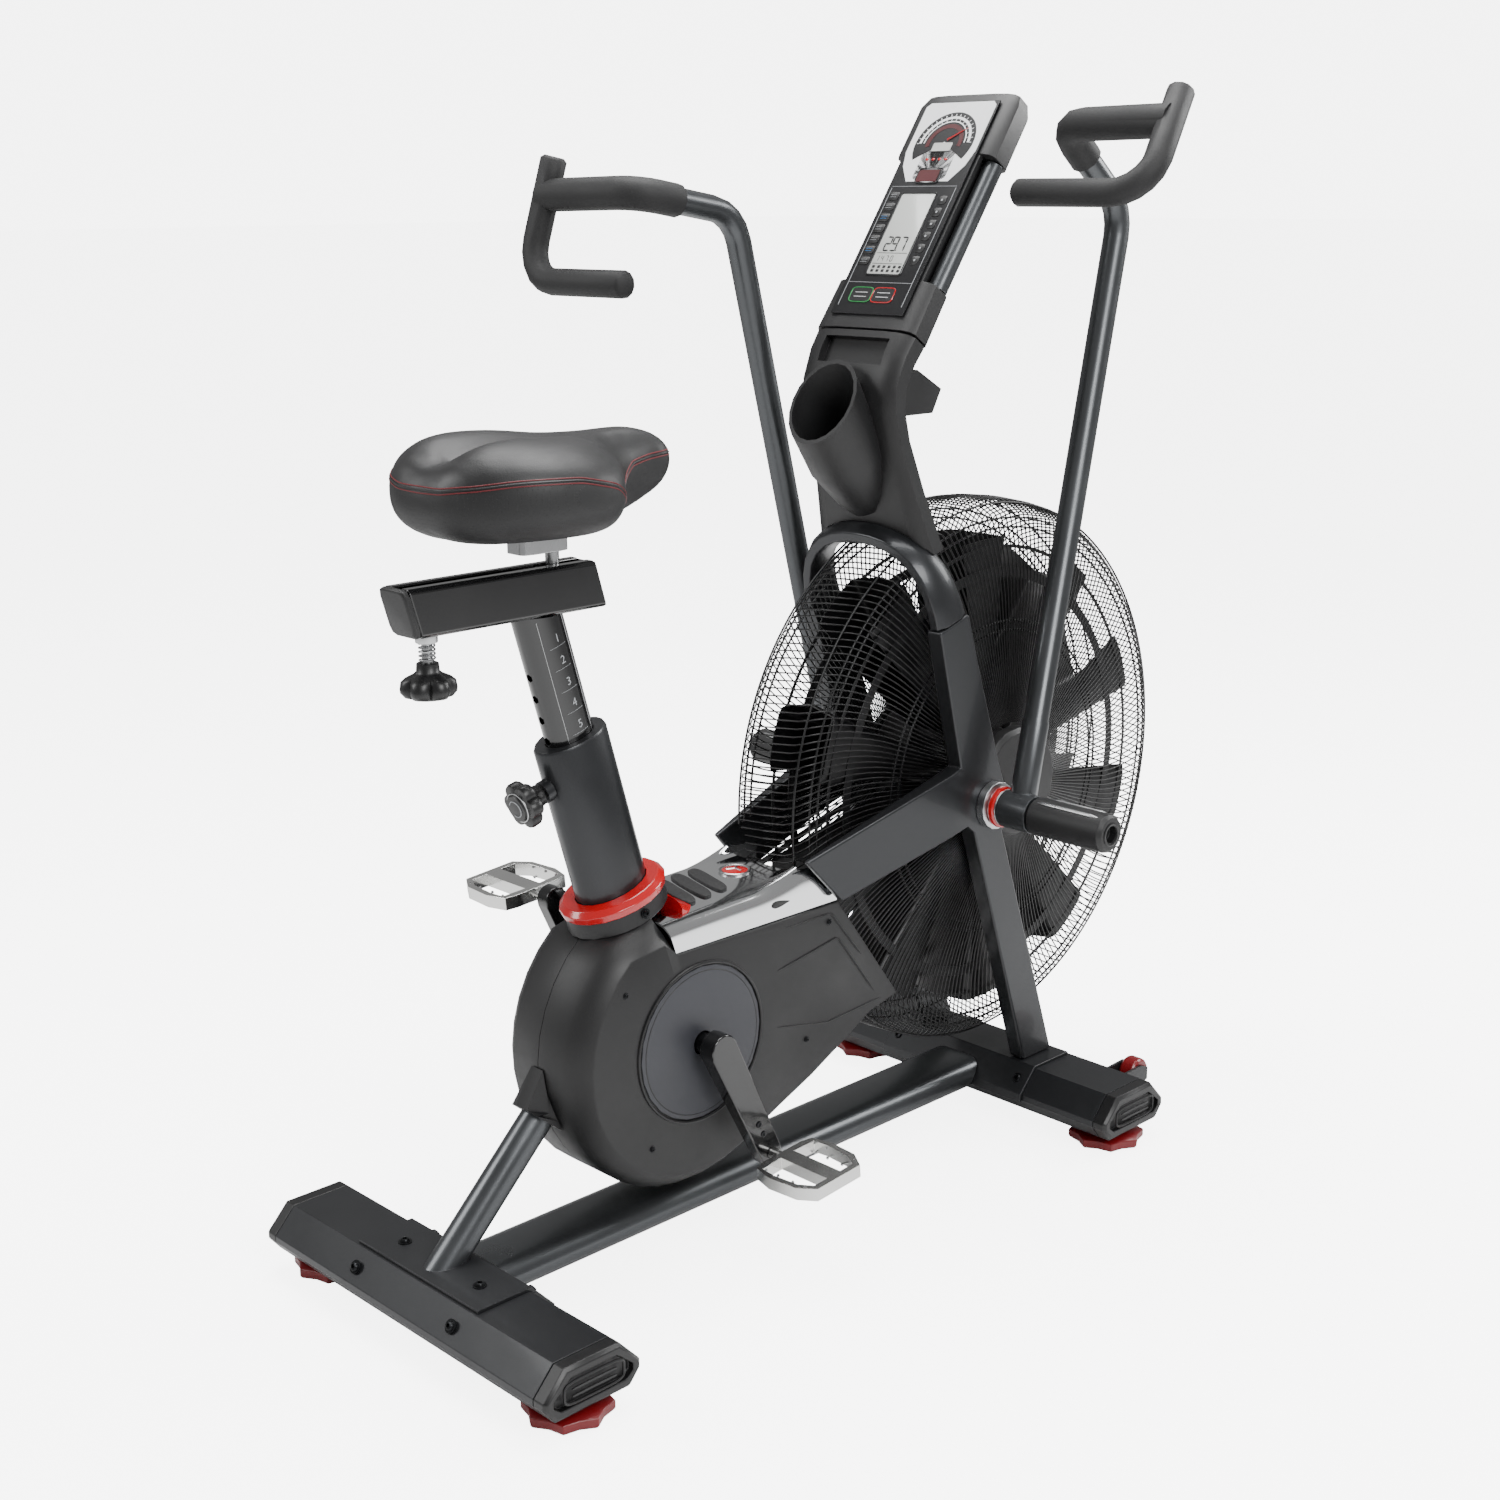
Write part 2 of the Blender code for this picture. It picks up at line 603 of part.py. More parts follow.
def slider_channel():
    """Gloss channel on the seat post in which the saddle carriage slides."""
    yz = np.array(slider_outline())
    lean = slider_shear(yz[:, 1])
    rings = [np.column_stack([x + lean, yz]) for x in (-0.0080, 0.2370)]
    return loft(rings)


def slider_cap():
    """End cap of the slider channel."""
    yz = oval(0.0235, 0.5 * (SLIDER_Z1 - SLIDER_Z0) + 0.0005, 12, 6.0)
    middle = 0.5 * (SLIDER_Z0 + SLIDER_Z1)
    rings = []
    for x, size in ((-0.0083, 1.0), (-0.0140, 1.0), (-0.0165, 0.90)):
        z = middle + yz[:, 1] * size
        rings.append(np.column_stack([x + slider_shear(z), yz[:, 0] * size, z]))
    return loft(rings)


def slider_knob():
    """Clamp knob hanging under the rear end of the slider."""
    profile = [(0.0110, 0.8036), (0.0110, 0.7960), (0.0060, 0.7950), (0.0060, 0.7740),
               (0.0100, 0.7735), (0.0125, 0.7640), (0.0250, 0.7560), (0.0275, 0.7440),
               (0.0240, 0.7340)]
    return turned(profile, (0.019, 0.0, 0.0), (0.0, 0.0, 1.0), 18, lobes=6, depth=0.10)


CARRIAGE_X = 0.1875


def saddle_carriage():
    """Sliding block, stem and saddle clamp."""
    levels = ((0.0, 0.0250, 0.0195, 0.8076, 5.0), (0.0, 0.0250, 0.0195, 0.8500, 5.0),
              (0.0, 0.0077, 0.0077, 0.8500, 2.0), (0.0, 0.0077, 0.0077, 0.8720, 2.0),
              (-0.0195, 0.0330, 0.0180, 0.8720, 5.0), (-0.0195, 0.0330, 0.0180, 0.8930, 5.0))
    rings = []
    for shift, a, b, z, power in levels:
        xy = oval(a, b, 12, power)
        x = CARRIAGE_X + shift + xy[:, 0]
        rings.append(np.column_stack([x, xy[:, 1], np.full(12, z)]))
    return loft(rings)


def saddle():
    """Wide padded saddle, nose forward."""
    stations = np.array([
        (0.012, 0.032, 0.958, 0.934), (0.020, 0.056, 0.974, 0.916), (0.038, 0.083, 0.988, 0.901),
        (0.062, 0.107, 0.995, 0.8950), (0.092, 0.124, 0.997, 0.8940), (0.125, 0.133, 0.996, 0.8940),
        (0.160, 0.135, 0.992, 0.8940), (0.190, 0.127, 0.988, 0.8945), (0.216, 0.104, 0.987, 0.8960),
        (0.240, 0.071, 0.988, 0.9000), (0.270, 0.049, 0.990, 0.9080), (0.305, 0.040, 0.991, 0.9190),
        (0.334, 0.034, 0.985, 0.9300), (0.349, 0.022, 0.974, 0.9420)])
    rings = []
    for x, half, top, low in stations:
        yz = oval(half, 0.5 * (top - low), 16, 2.8)
        rings.append(np.column_stack([np.full(16, x), yz[:, 0], 0.5 * (top + low) + yz[:, 1]]))
    return loft(rings)


# ---------------------------------------------------------------- drive
def cut_rays(outline, angles):
    """Distance from the crank axis to an outline along each ray."""
    pts = np.asarray(outline, float) - (CRANK_X, CRANK_Z)
    nxt = np.roll(pts, -1, axis=0)
    reach = np.zeros(len(angles))
    for i, t in enumerate(angles):
        d = np.array([math.cos(t), math.sin(t)])
        edge = nxt - pts
        cross = d[0] * edge[:, 1] - d[1] * edge[:, 0]
        cross = np.where(np.abs(cross) < 1e-12, 1e-12, cross)
        along = (pts[:, 0] * edge[:, 1] - pts[:, 1] * edge[:, 0]) / cross
        part = (pts[:, 0] * d[1] - pts[:, 1] * d[0]) / cross
        hits = along[(along > 0.0) & (part >= -1e-9) & (part <= 1.0 + 1e-9)]
        reach[i] = hits.max()
    return reach


SHARP_CORNERS = [(0.672, 0.2474), (0.561, 0.3985), (0.622, 0.236), (0.277, 0.4425),
                 (0.296, 0.4015), (0.5097, 0.4015), (0.5827, 0.2103), (0.5227, 0.1786)]


def housing_outlines():
    """Barrel outline and side-face outline of the drive housing in (x, z)."""
    barrel = arc((CRANK_X, CRANK_Z), HOUSING_R, 129.5, 293.0, 18)
    barrel += [(0.464, 0.1526), (0.5227, 0.1786), (0.5827, 0.2103)]
    barrel += arc((FAN_X, FAN_Z), CAGE_R + 0.006, 225.7, 194.76, 6)
    barrel += [(0.296, 0.4015), (0.284, 0.4300), (0.277, 0.4425)]
    face = arc((CRANK_X, CRANK_Z), HOUSING_FACE_R, 129.5, 293.0, 18)
    face += [(0.464, 0.160), (0.5227, 0.184), (0.5827, 0.2145), (0.622, 0.236), (0.672, 0.2474),
             (0.561, 0.3985), (0.440, 0.3980), (0.296, 0.3985), (0.276, 0.415)]
    return barrel, face


def housing():
    """Half of the drive housing, a hollow shell with the ear that covers the cage (left)."""
    barrel, face = housing_outlines()
    angles = [math.atan2(z - CRANK_Z, x - CRANK_X) % (2.0 * math.pi) for x, z in SHARP_CORNERS]
    for x, z in barrel + face:
        turn = math.atan2(z - CRANK_Z, x - CRANK_X) % (2.0 * math.pi)
        if all(abs(turn - other) > 0.060 for other in angles):
            angles.append(turn)
    angles = np.sort(np.array(angles))
    outer, side = cut_rays(barrel, angles), cut_rays(face, angles)
    wide = (angles < math.radians(103.6)) | (angles > math.radians(330.0))
    least = np.where(wide, np.minimum(outer, side), side)
    inside = HOUSING_Y - HOUSING_WALL + 0.001
    flat = np.ones(len(angles))
    levels = [
        (outer, GAP * flat),
        (outer, np.where(wide, 0.0665, 0.045)),
        (np.where(wide, side, 0.5 * (outer + side)), np.where(wide, 0.0667, 0.0605)),
        (side, (HOUSING_Y - 0.0015) * flat),
        (side - 0.003, HOUSING_Y * flat),
        (0.021 * flat, HOUSING_Y * flat),
        (0.021 * flat, inside * flat),
        (least - 0.007, inside * flat),
        (np.where(wide, least - 0.007, outer - HOUSING_WALL), 0.043 * flat),
        (np.where(wide, least - 0.007, outer - HOUSING_WALL), GAP * flat),
    ]
    rings = [np.column_stack([CRANK_X + r * np.cos(angles), y, CRANK_Z + r * np.sin(angles)])
             for r, y in levels]
    return loft(rings, closed=True)


def housing_left():
    """Left half with the slot through which the belt runs to the fan."""
    slot = box((0.450, 0.0455, 0.280), (0.600, 0.0640, 0.4120))
    return combine("slot", housing(), slot, "DIFFERENCE")


def top_cover():
    """Bright cover over the housing, notched around the fan cage."""
    rings = []
    for x, top in ((0.2985, 0.4395), (0.330, 0.4410), (0.420, 0.4440), (0.500, 0.4460),
                   (0.563, 0.4400)):
        for_outer = [(-0.0728, 0.4035), (-0.0700, top - 0.018), (-0.0600, top - 0.003),
                     (-0.0520, top), (0.0520, top), (0.0600, top - 0.003),
                     (0.0700, top - 0.018), (0.0728, 0.4035)]
        for_inner = [(0.0702, 0.4035), (0.0668, top - 0.0185), (0.0580, top - 0.0058),
                     (0.0515, top - 0.003), (-0.0515, top - 0.003), (-0.0580, top - 0.0058),
                     (-0.0668, top - 0.0185), (-0.0702, 0.4035)]
        rings.append([(x, y, z) for y, z in for_outer + for_inner])
    shape = loft(rings)
    notch = turned([(CAGE_R + 0.006, -0.0664), (CAGE_R + 0.006, 0.0664)], (FAN_X, 0.0, FAN_Z),
                   (0.0, 1.0, 0.0), 64)
    return combine("notch", shape, notch, "DIFFERENCE")


def disc_cover():
    """Round cover disc around the crank spindle (left)."""
    profile = [(0.0145, HOUSING_Y + GAP), (DISC_R, HOUSING_Y + GAP), (DISC_R, HOUSING_Y + 0.0018),
               (DISC_R - 0.006, HOUSING_Y + 0.0028), (0.0145, HOUSING_Y + 0.0040)]
    return turned(profile, (CRANK_X, 0.0, CRANK_Z), (0.0, 1.0, 0.0), 24, closed=True)


def crank_spindle():
    """Spindle with the large belt pulley on it."""
    edge = BELT_Y - 0.5 * BELT_W
    profile = [(0.0125, -CRANK_Y + GAP), (0.0125, edge - 0.003), (PULLEY_R + 0.003, edge - 0.003),
               (PULLEY_R + 0.003, edge - 0.001), (PULLEY_R, edge - 0.001),
               (PULLEY_R, edge + BELT_W + 0.001), (PULLEY_R + 0.003, edge + BELT_W + 0.001),
               (PULLEY_R + 0.003, edge + BELT_W + 0.003), (0.0125, edge + BELT_W + 0.003),
               (0.0125, CRANK_Y - GAP)]
    return turned(profile, (CRANK_X, 0.0, CRANK_Z), (0.0, 1.0, 0.0), 20)


def crank_direction(side):
    """Unit (x, z) direction from the spindle to a pedal in the rest position."""
    sign = -side
    return sign * math.sin(CRANK_ANGLE), -sign * math.cos(CRANK_ANGLE)


def crank(side):
    """Crank arm, slightly set outwards at the pedal end."""
    dx, dz = crank_direction(side)
    hub = np.radians(np.linspace(90.0, 270.0, 7))
    tip = np.radians(np.linspace(-90.0, 90.0, 7))
    flat = [(0.0200 * math.cos(t), 0.0200 * math.sin(t)) for t in hub]
    flat += [(CRANK_LEN + 0.0165 * math.cos(t), 0.0165 * math.sin(t)) for t in tip]
    flat = np.array(flat)
    along, across = flat[:, 0], flat[:, 1]
    x = CRANK_X + along * dx - across * dz
    z = CRANK_Z + along * dz + across * dx
    inner = CRANK_Y + 0.0090 * np.clip(along / CRANK_LEN, 0.0, 1.0)
    outer = inner + 0.0230 - 0.0035 * np.clip(along / CRANK_LEN, 0.0, 1.0)
    rings = [np.column_stack([x, side * y, z]) for y in (inner, outer)]
    return loft(rings)


def pedal_centre(side):
    """(x, z) of a pedal axle."""
    dx, dz = crank_direction(side)
    return CRANK_X + CRANK_LEN * dx, CRANK_Z + CRANK_LEN * dz


def pedal(side):
    """Metal cage pedal with its spindle."""
    cx, cz = pedal_centre(side)
    c, s = math.cos(PEDAL_TILT), math.sin(PEDAL_TILT)

    def level(flat, height):
        return [(cx + u * c - height * s, side * y, cz + u * s + height * c) for u, y in flat]

    y0, y1 = PEDAL_Y0, PEDAL_Y1
    frame = [(-0.046, y0 + 0.004), (-0.030, y0), (0.030, y0), (0.046, y0 + 0.004),
             (0.053, y0 + 0.030), (0.050, y1 - 0.022), (0.036, y1), (-0.036, y1),
             (-0.050, y1 - 0.022), (-0.053, y0 + 0.030)]
    shape = loft([level(frame, -0.008), level(frame, 0.008)])
    for sign in (-1.0, 1.0):
        window = [(sign * 0.0110, y0 + 0.010), (sign * 0.0430, y0 + 0.012),
                  (sign * 0.0450, y0 + 0.032), (sign * 0.0420, y1 - 0.026),
                  (sign * 0.0320, y1 - 0.009), (sign * 0.0110, y1 - 0.009)]
        hole = loft([level(window, -0.012), level(window, 0.012)])
        shape = combine("window", shape, hole, "DIFFERENCE")
    start = CRANK_Y + 0.0090 + 0.0195 + 0.0004
    axle = turned([(0.0075, side * start), (0.0075, side * (y0 + 0.004))], (cx, 0.0, cz),
                  (0.0, 1.0, 0.0), 14)
    return combine("axle", shape, axle, "UNION")


def belt_loop(extra):
    """(x, z) loop around both pulleys, a little outside their rims."""
    small = PULLEY_R / BELT_RATIO
    gap = np.array([FAN_X - CRANK_X, FAN_Z - CRANK_Z])
    length = float(np.linalg.norm(gap))
    base = math.atan2(gap[1], gap[0])
    spread = math.acos((PULLEY_R - small) / length)
    big = np.linspace(base + spread, base + 2.0 * math.pi - spread, 18)
    little = np.linspace(base - spread, base + spread, 6)
    loop = [(CRANK_X + (PULLEY_R + extra) * math.cos(t), CRANK_Z + (PULLEY_R + extra) * math.sin(t))
            for t in big]
    loop += [(FAN_X + (small + extra) * math.cos(t), FAN_Z + (small + extra) * math.sin(t))
             for t in little]
    return loop


def drive_belt():
    """Flat belt from the crank pulley to the fan pulley."""
    half = 0.5 * BELT_W
    return hollow_y(belt_loop(0.0028), belt_loop(0.0006), BELT_Y - half, BELT_Y + half)


# ---------------------------------------------------------------- fan
def fan_rotor():
    """Hub, flat radial blades and belt pulley."""
    bore, hub, tip, half = 0.0068, 0.060, 0.318, 0.0015
    inner, outer = [], []
    for k in range(BLADES):
        base = 2.0 * math.pi * k / BLADES
        step = math.asin(half / hub)
        far = math.asin(half / tip)
        for angle, radius in ((base - step, hub), (base - far, tip), (base + far, tip),
                              (base + step, hub), (base + math.pi / BLADES, hub)):
            outer.append((FAN_X + radius * math.cos(angle), FAN_Z + radius * math.sin(angle)))
            inner.append((FAN_X + bore * math.cos(angle), FAN_Z + bore * math.sin(angle)))
    blades = hollow_y(outer, inner, -0.043, 0.043)
    small = PULLEY_R / BELT_RATIO
    edge = BELT_Y - 0.5 * BELT_W
    profile = [(bore, 0.040), (0.030, 0.040), (0.030, edge - 0.001), (small, edge - 0.001),
               (small, edge + BELT_W + 0.001), (small + 0.003, edge + BELT_W + 0.001),
               (small + 0.003, edge + BELT_W + 0.003), (bore, edge + BELT_W + 0.003)]
    pulley = turned(profile, (FAN_X, 0.0, FAN_Z), (0.0, 1.0, 0.0), 14, closed=True)
    return combine("rotor", blades, pulley, "UNION")


def fan_axle():
    """Fixed axle of the fan."""
    return turned([(0.0065, -0.1075), (0.0065, 0.1075)], (FAN_X, 0.0, FAN_Z), (0.0, 1.0, 0.0), 10)


def cage():
    """Half of the wire guard; a window at the rear lets the belt through (left)."""
    profile = ((CAGE_R, 0.0035), (CAGE_R, 0.046), (0.345, 0.058), (0.200, 0.072),
               (0.076, 0.086))
    sectors = 16
    work = bmesh.new()
    grid = []
    for radius, y in profile:
        row = []
        for k in range(sectors):
            t = 2.0 * math.pi * k / sectors
            row.append(work.verts.new((FAN_X + radius * math.cos(t), y,
                                       FAN_Z + radius * math.sin(t))))
        grid.append(row)
    for i in range(len(profile) - 1):
        for k in range(sectors):
            if i in (1, 2) and k in (8, 9):
                continue
            j = (k + 1) % sectors
            work.faces.new((grid[i][k], grid[i][j], grid[i + 1][j], grid[i + 1][k]))
    work.normal_update()
    bmesh.ops.wireframe(work, faces=list(work.faces), thickness=CAGE_WIRE, offset=0.0,
                        use_replace=True, use_boundary=True, use_even_offset=True)
    loose = [v for v in work.verts if not v.link_faces]
    bmesh.ops.delete(work, geom=loose, context="VERTS")
    bmesh.ops.recalc_face_normals(work, faces=work.faces)
    work.verts.index_update()
    points = [tuple(v.co) for v in work.verts]
    faces = [tuple(v.index for v in f.verts) for f in work.faces]
    work.free()
    return points, faces


def hub_cover():
    """Drum-shaped cover over the fan hub, trimmed where the frame passes (left)."""
    profile = [(0.009, 0.0885), (0.073, 0.0885), (0.073, 0.1030), (0.068, 0.1090),
               (0.009, 0.1120)]
    shape = turned(profile, (FAN_X, 0.0, FAN_Z), (0.0, 1.0, 0.0), 20, closed=True)
    trim = [(0.700, 0.640), (0.780, 0.645), (0.817, 0.538), (0.832, 0.502), (0.8335, 0.470),
            (0.8285, 0.441), (0.870, 0.330), (0.700, 0.330)]
    return combine("trim", shape, prism_y(trim, 0.0925, 0.120), "DIFFERENCE")


# ---------------------------------------------------------------- console
def console_point(along, out, across=0.0):
    """Point given up the console face, out towards the rider and across the bike."""
    up = (math.sin(CONSOLE_TILT), math.cos(CONSOLE_TILT))
    normal = (-math.cos(CONSOLE_TILT), math.sin(CONSOLE_TILT))
    return (JOINT_X + up[0] * along + normal[0] * out, across,
            JOINT_Z + up[1] * along + normal[1] * out)


def console_ring(along, half, front, back, power=5.0, sides=16):
    """Rounded rectangle square to the console length."""
    middle, deep = 0.5 * (front + back), 0.5 * (front - back)
    return [console_point(along, middle + b * deep, a * half) for a, b in oval(1.0, 1.0, sides, power)]


def console_case():
    """Long console housing; its waist leaves room for the side tubes."""
    rings = [console_ring(0.0015, 0.0810, 0.0, -0.044), console_ring(0.0690, 0.0790, 0.0, -0.044),
             console_ring(0.0700, 0.0620, 0.0, -0.012), console_ring(0.2480, 0.0620, 0.0, -0.012),
             console_ring(0.2490, 0.0795, 0.0, -0.046), console_ring(0.3220, 0.0790, 0.0, -0.045),
             console_ring(0.3380, 0.0730, -0.004, -0.039)]
    core = console_block((0.1590, 0.0, 0.1060, 0.1900), -0.040, -0.006)
    return combine("core", loft(rings), core, "UNION")


KEYS = {"key_select": (0.2150, 0.0030, 0.034, 0.017), "key_start": (0.0454, 0.0215, 0.032, 0.018),
        "key_stop": (0.0454, -0.0145, 0.032, 0.018)}


def console_block(key, out0, out1, grow=0.0):
    """Block standing on the console face at a key position."""
    along, across, wide, tall = key
    wide, tall = 0.5 * wide + grow, 0.5 * tall + grow
    rings = []
    for out in (out0, out1):
        rings.append([console_point(along + a * tall, out, across + b * wide)
                      for a, b in ((-1, -1), (1, -1), (1, 1), (-1, 1))])
    return loft(rings)


def console_face():
    """Display panel on the console, with openings for the sprung keys."""
    shape = console_block((0.1710, 0.0, 0.1180, 0.3040), GAP, 0.0023)
    for key in KEYS.values():
        shape = combine("key", shape, console_block(key, 0.0, 0.010, 0.0004), "DIFFERENCE")
    return shape


def console_tube():
    """Frame tube visible beside the console (left)."""
    ends = [console_point(s, -0.0265, 0.0665) for s in (0.0706, 0.2474)]
    return swept(ends, 0.0125, 12)


def neck_cover():
    """Neck shell with bottle holder, tray slot and forward block."""
    stations = ((0.6895, 1.0680, 0.0222, 0.0810, 55.0), (0.6750, 1.0480, 0.0215, 0.0800, 62.0),
                (0.6610, 1.0180, 0.0205, 0.0780, 80.0), (0.6620, 0.9900, 0.0185, 0.0760, 93.0),
                (0.6720, 0.9500, 0.0180, 0.0760, 103.0), (0.6910, 0.8850, 0.0185, 0.0840, 105.0),
                (0.7140, 0.8120, 0.0205, 0.0965, 105.0))
    rings = []
    for x, z, deep, half, lean in stations:
        a = math.radians(lean)
        across = (math.sin(a), -math.cos(a))
        rings.append([(x + across[0] * v * deep, u * half, z + across[1] * v * deep)
                      for u, v in oval(1.0, 1.0, 16, 4.0)])
    shape = loft(rings)
    block = prism_y([(0.668, 1.004), (0.7520, 1.0290), (0.7970, 1.0030), (0.7810, 0.9740),
                     (0.7400, 0.9740), (0.668, 0.9740)], -0.022, 0.022)
    shape = combine("block", shape, block, "UNION")
    shape = combine("cup", shape, cup(0.0500, 0.0, 0.156, 0.024), "UNION")
    shape = combine("well", shape, cup(0.0455, -0.030, 0.118, 0.034), "DIFFERENCE")
    tray = [(0.6300, 1.0830), (0.6640, 1.0740), (0.6760, 1.0680), (0.6600, 1.0390),
            (0.6440, 1.0450), (0.6200, 1.0520)]
    shape = combine("tray", shape, prism_y(tray, -0.0520, 0.0520), "DIFFERENCE")
    return combine("arch", shape, arch_space(), "DIFFERENCE")


def cup(radius, start, end, end_radius):
    """Tilted cylinder whose mouth is cut along the sloping rim of the bottle holder."""
    rim = np.array([0.6060, 0.0, 0.9990])
    axis = np.array([0.539, 0.0, -0.842])
    axis /= np.linalg.norm(axis)
    slope = np.array([-0.862, 0.0, 0.507])
    first, second = axes_for(axis)
    turn = np.linspace(0.0, 2.0 * math.pi, 20, endpoint=False)
    spoke = np.outer(np.cos(turn), first) + np.outer(np.sin(turn), second)
    mouth = rim + spoke * radius
    shift = -((mouth - rim) @ slope) / (axis @ slope)
    rings = [mouth + np.outer(shift + start, axis)]
    rings.append(rim + spoke * radius * 0.985 + axis * (end - 0.072))
    rings.append(rim + spoke * 0.5 * (0.95 * radius + end_radius) + axis * (end - 0.024))
    rings.append(rim + spoke * end_radius + axis * end)
    return loft(rings)


# ---------------------------------------------------------------- assembly
def build_base():
    """Stabilisers, caps, feet, beam, brackets and wheels."""
    steel = dict(metallic=0.7, roughness=0.45)
    body("rear_stabiliser", stabiliser(0.0), (0.08, 0.08, 0.085), **steel)
    body("front_stabiliser", front_stabiliser(), (0.08, 0.08, 0.085), **steel)
    body("main_beam", main_beam(), (0.09, 0.09, 0.095), **steel)
    body("rear_strut", rear_strut(), (0.09, 0.09, 0.095), **steel)
    body("front_bracket", front_bracket(), (0.07, 0.07, 0.075), **steel)
    for end, x in (("rear", 0.0), ("front", FRONT_X)):
        for name, side in SIDES.items():
            body(f"{end}_cap_{name}", mirrored(end_cap(x), side), (0.02, 0.02, 0.02))
            y = side * FOOT_Y
            body(f"{end}_foot_{name}", levelling_foot(x, y), (0.35, 0.02, 0.03),
                 origin=(x, y, 0.0))
    for name, side in SIDES.items():
        body(f"wheel_{name}", transport_wheel(side), (0.45, 0.01, 0.02),
             origin=(WHEEL_X, side * WHEEL_Y, WHEEL_Z))


def build_frame():
    """Side frames, arch, pivots, pegs, arms and grips."""
    body("arch", arch(), (0.07, 0.07, 0.075), 0.7, 0.45)
    pivot = (PIVOT_X, 0.0, PIVOT_Z)
    for name, side in SIDES.items():
        angle = ARM_NEUTRAL - side * ARM_SWING
        body(f"side_frame_{name}", mirrored(side_frame(), side), (0.07, 0.07, 0.075), 0.7, 0.45)
        body(f"pivot_boss_{name}", mirrored(pivot_boss(), side), (0.5, 0.5, 0.5), 0.9, 0.3)
        body(f"foot_peg_{name}", mirrored(foot_peg(), side), (0.03, 0.03, 0.03), 0.0, 0.5)
        body(f"arm_{name}", turned_arm(arm_shape(), angle, side), (0.12, 0.12, 0.125), 0.7, 0.4,
             origin=pivot)
        body(f"grip_{name}", turned_arm(grip_shape(), angle, side), (0.03, 0.03, 0.03), 0.0, 0.8,
             origin=pivot)


def build_seat():
    """Seat tube, post, slider, carriage, knobs and saddle."""
    body("seat_tube", seat_tube(), (0.10, 0.10, 0.105), 0.6, 0.5)
    body("seat_collar", seat_collar(), (0.6, 0.01, 0.02), 0.0, 0.35)
    top = seat_point(SEAT_TUBE_LEN, 0.0)
    body("seat_post", seat_post(), (0.01, 0.01, 0.01), 0.3, 0.15, origin=top)
    body("post_knob", post_knob(), (0.03, 0.03, 0.03), origin=seat_point(0.186, 0.0))
    body("slider_channel", slider_channel(), (0.01, 0.01, 0.01), 0.3, 0.15)
    body("slider_cap", slider_cap(), (0.01, 0.01, 0.01), 0.0, 0.3)
    body("slider_knob", slider_knob(), (0.03, 0.03, 0.03), origin=(0.019, 0.0, 0.770))
    body("saddle_carriage", saddle_carriage(), (0.5, 0.5, 0.5), 0.9, 0.3,
         origin=(CARRIAGE_X, 0.0, 0.860))
    body("saddle", saddle(), (0.03, 0.03, 0.03), 0.0, 0.6, origin=(CARRIAGE_X, 0.0, 0.940))


def build_drive():
    """Housing, cover, discs, cranks, pedals and belt."""
    axis = (CRANK_X, 0.0, CRANK_Z)
    body("housing_left", housing_left(), (0.02, 0.02, 0.02), 0.0, 0.6)
    body("housing_right", mirrored(housing(), -1.0), (0.02, 0.02, 0.02), 0.0, 0.6)
    body("top_cover", top_cover(), (0.8, 0.8, 0.8), 1.0, 0.15)
    body("crank_spindle", crank_spindle(), (0.5, 0.5, 0.5), 0.9, 0.3, origin=axis)
    body("drive_belt", drive_belt(), (0.02, 0.02, 0.02), 0.0, 0.8)
    for name, side in SIDES.items():
        cx, cz = pedal_centre(side)
        body(f"disc_cover_{name}", mirrored(disc_cover(), side), (0.06, 0.06, 0.07), 0.0, 0.35)
        body(f"crank_{name}", crank(side), (0.01, 0.01, 0.01), 0.2, 0.2, origin=axis)
        body(f"pedal_{name}", pedal(side), (0.75, 0.75, 0.75), 1.0, 0.25,
             origin=(cx, side * 0.184, cz))


def build_fan():
    """Rotor, axle, guard halves and hub covers."""
    body("fan_rotor", fan_rotor(), (0.02, 0.02, 0.02), 0.2, 0.5, origin=(FAN_X, 0.0, FAN_Z))
    body("fan_axle", fan_axle(), (0.5, 0.5, 0.5), 0.9, 0.3)
    for name, side in SIDES.items():
        body(f"cage_{name}", mirrored(cage(), side), (0.03, 0.03, 0.03), 0.3, 0.4)
        body(f"hub_cover_{name}", mirrored(hub_cover(), side), (0.03, 0.03, 0.03), 0.0, 0.5)


def build_console():
    """Console, panel, keys, tubes and neck."""
    body("neck_cover", neck_cover(), (0.03, 0.03, 0.03), 0.0, 0.5)
    body("console_case", console_case(), (0.03, 0.03, 0.03), 0.0, 0.45)
    body("console_face", console_face(), (0.6, 0.6, 0.6), 0.0, 0.3)
    for name, side in SIDES.items():
        body(f"console_tube_{name}", mirrored(console_tube(), side), (0.12, 0.12, 0.125), 0.7, 0.4)
    for name, key in KEYS.items():
        origin = console_point(key[0], 0.0018, key[1])
        body(name, console_block(key, 0.0012, 0.0030), (0.1, 0.1, 0.1), origin=origin)


clear_scene()
build_base()
build_frame()
build_seat()
build_drive()
build_fan()
build_console()
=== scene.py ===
"""Looks of an air exercise bike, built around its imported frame.

Lengths are metres.  Shapes are worked out in station coordinates, where x = 0 is the rear
stabiliser and the crank, fan and pivot keep round numbers, and `placed` moves them to the
origin under the middle of the bike when a piece is made.
"""
import enum
import logging
import math
from dataclasses import dataclass, field

import bmesh
import bpy
import numpy as np
from mathutils import Matrix, Vector


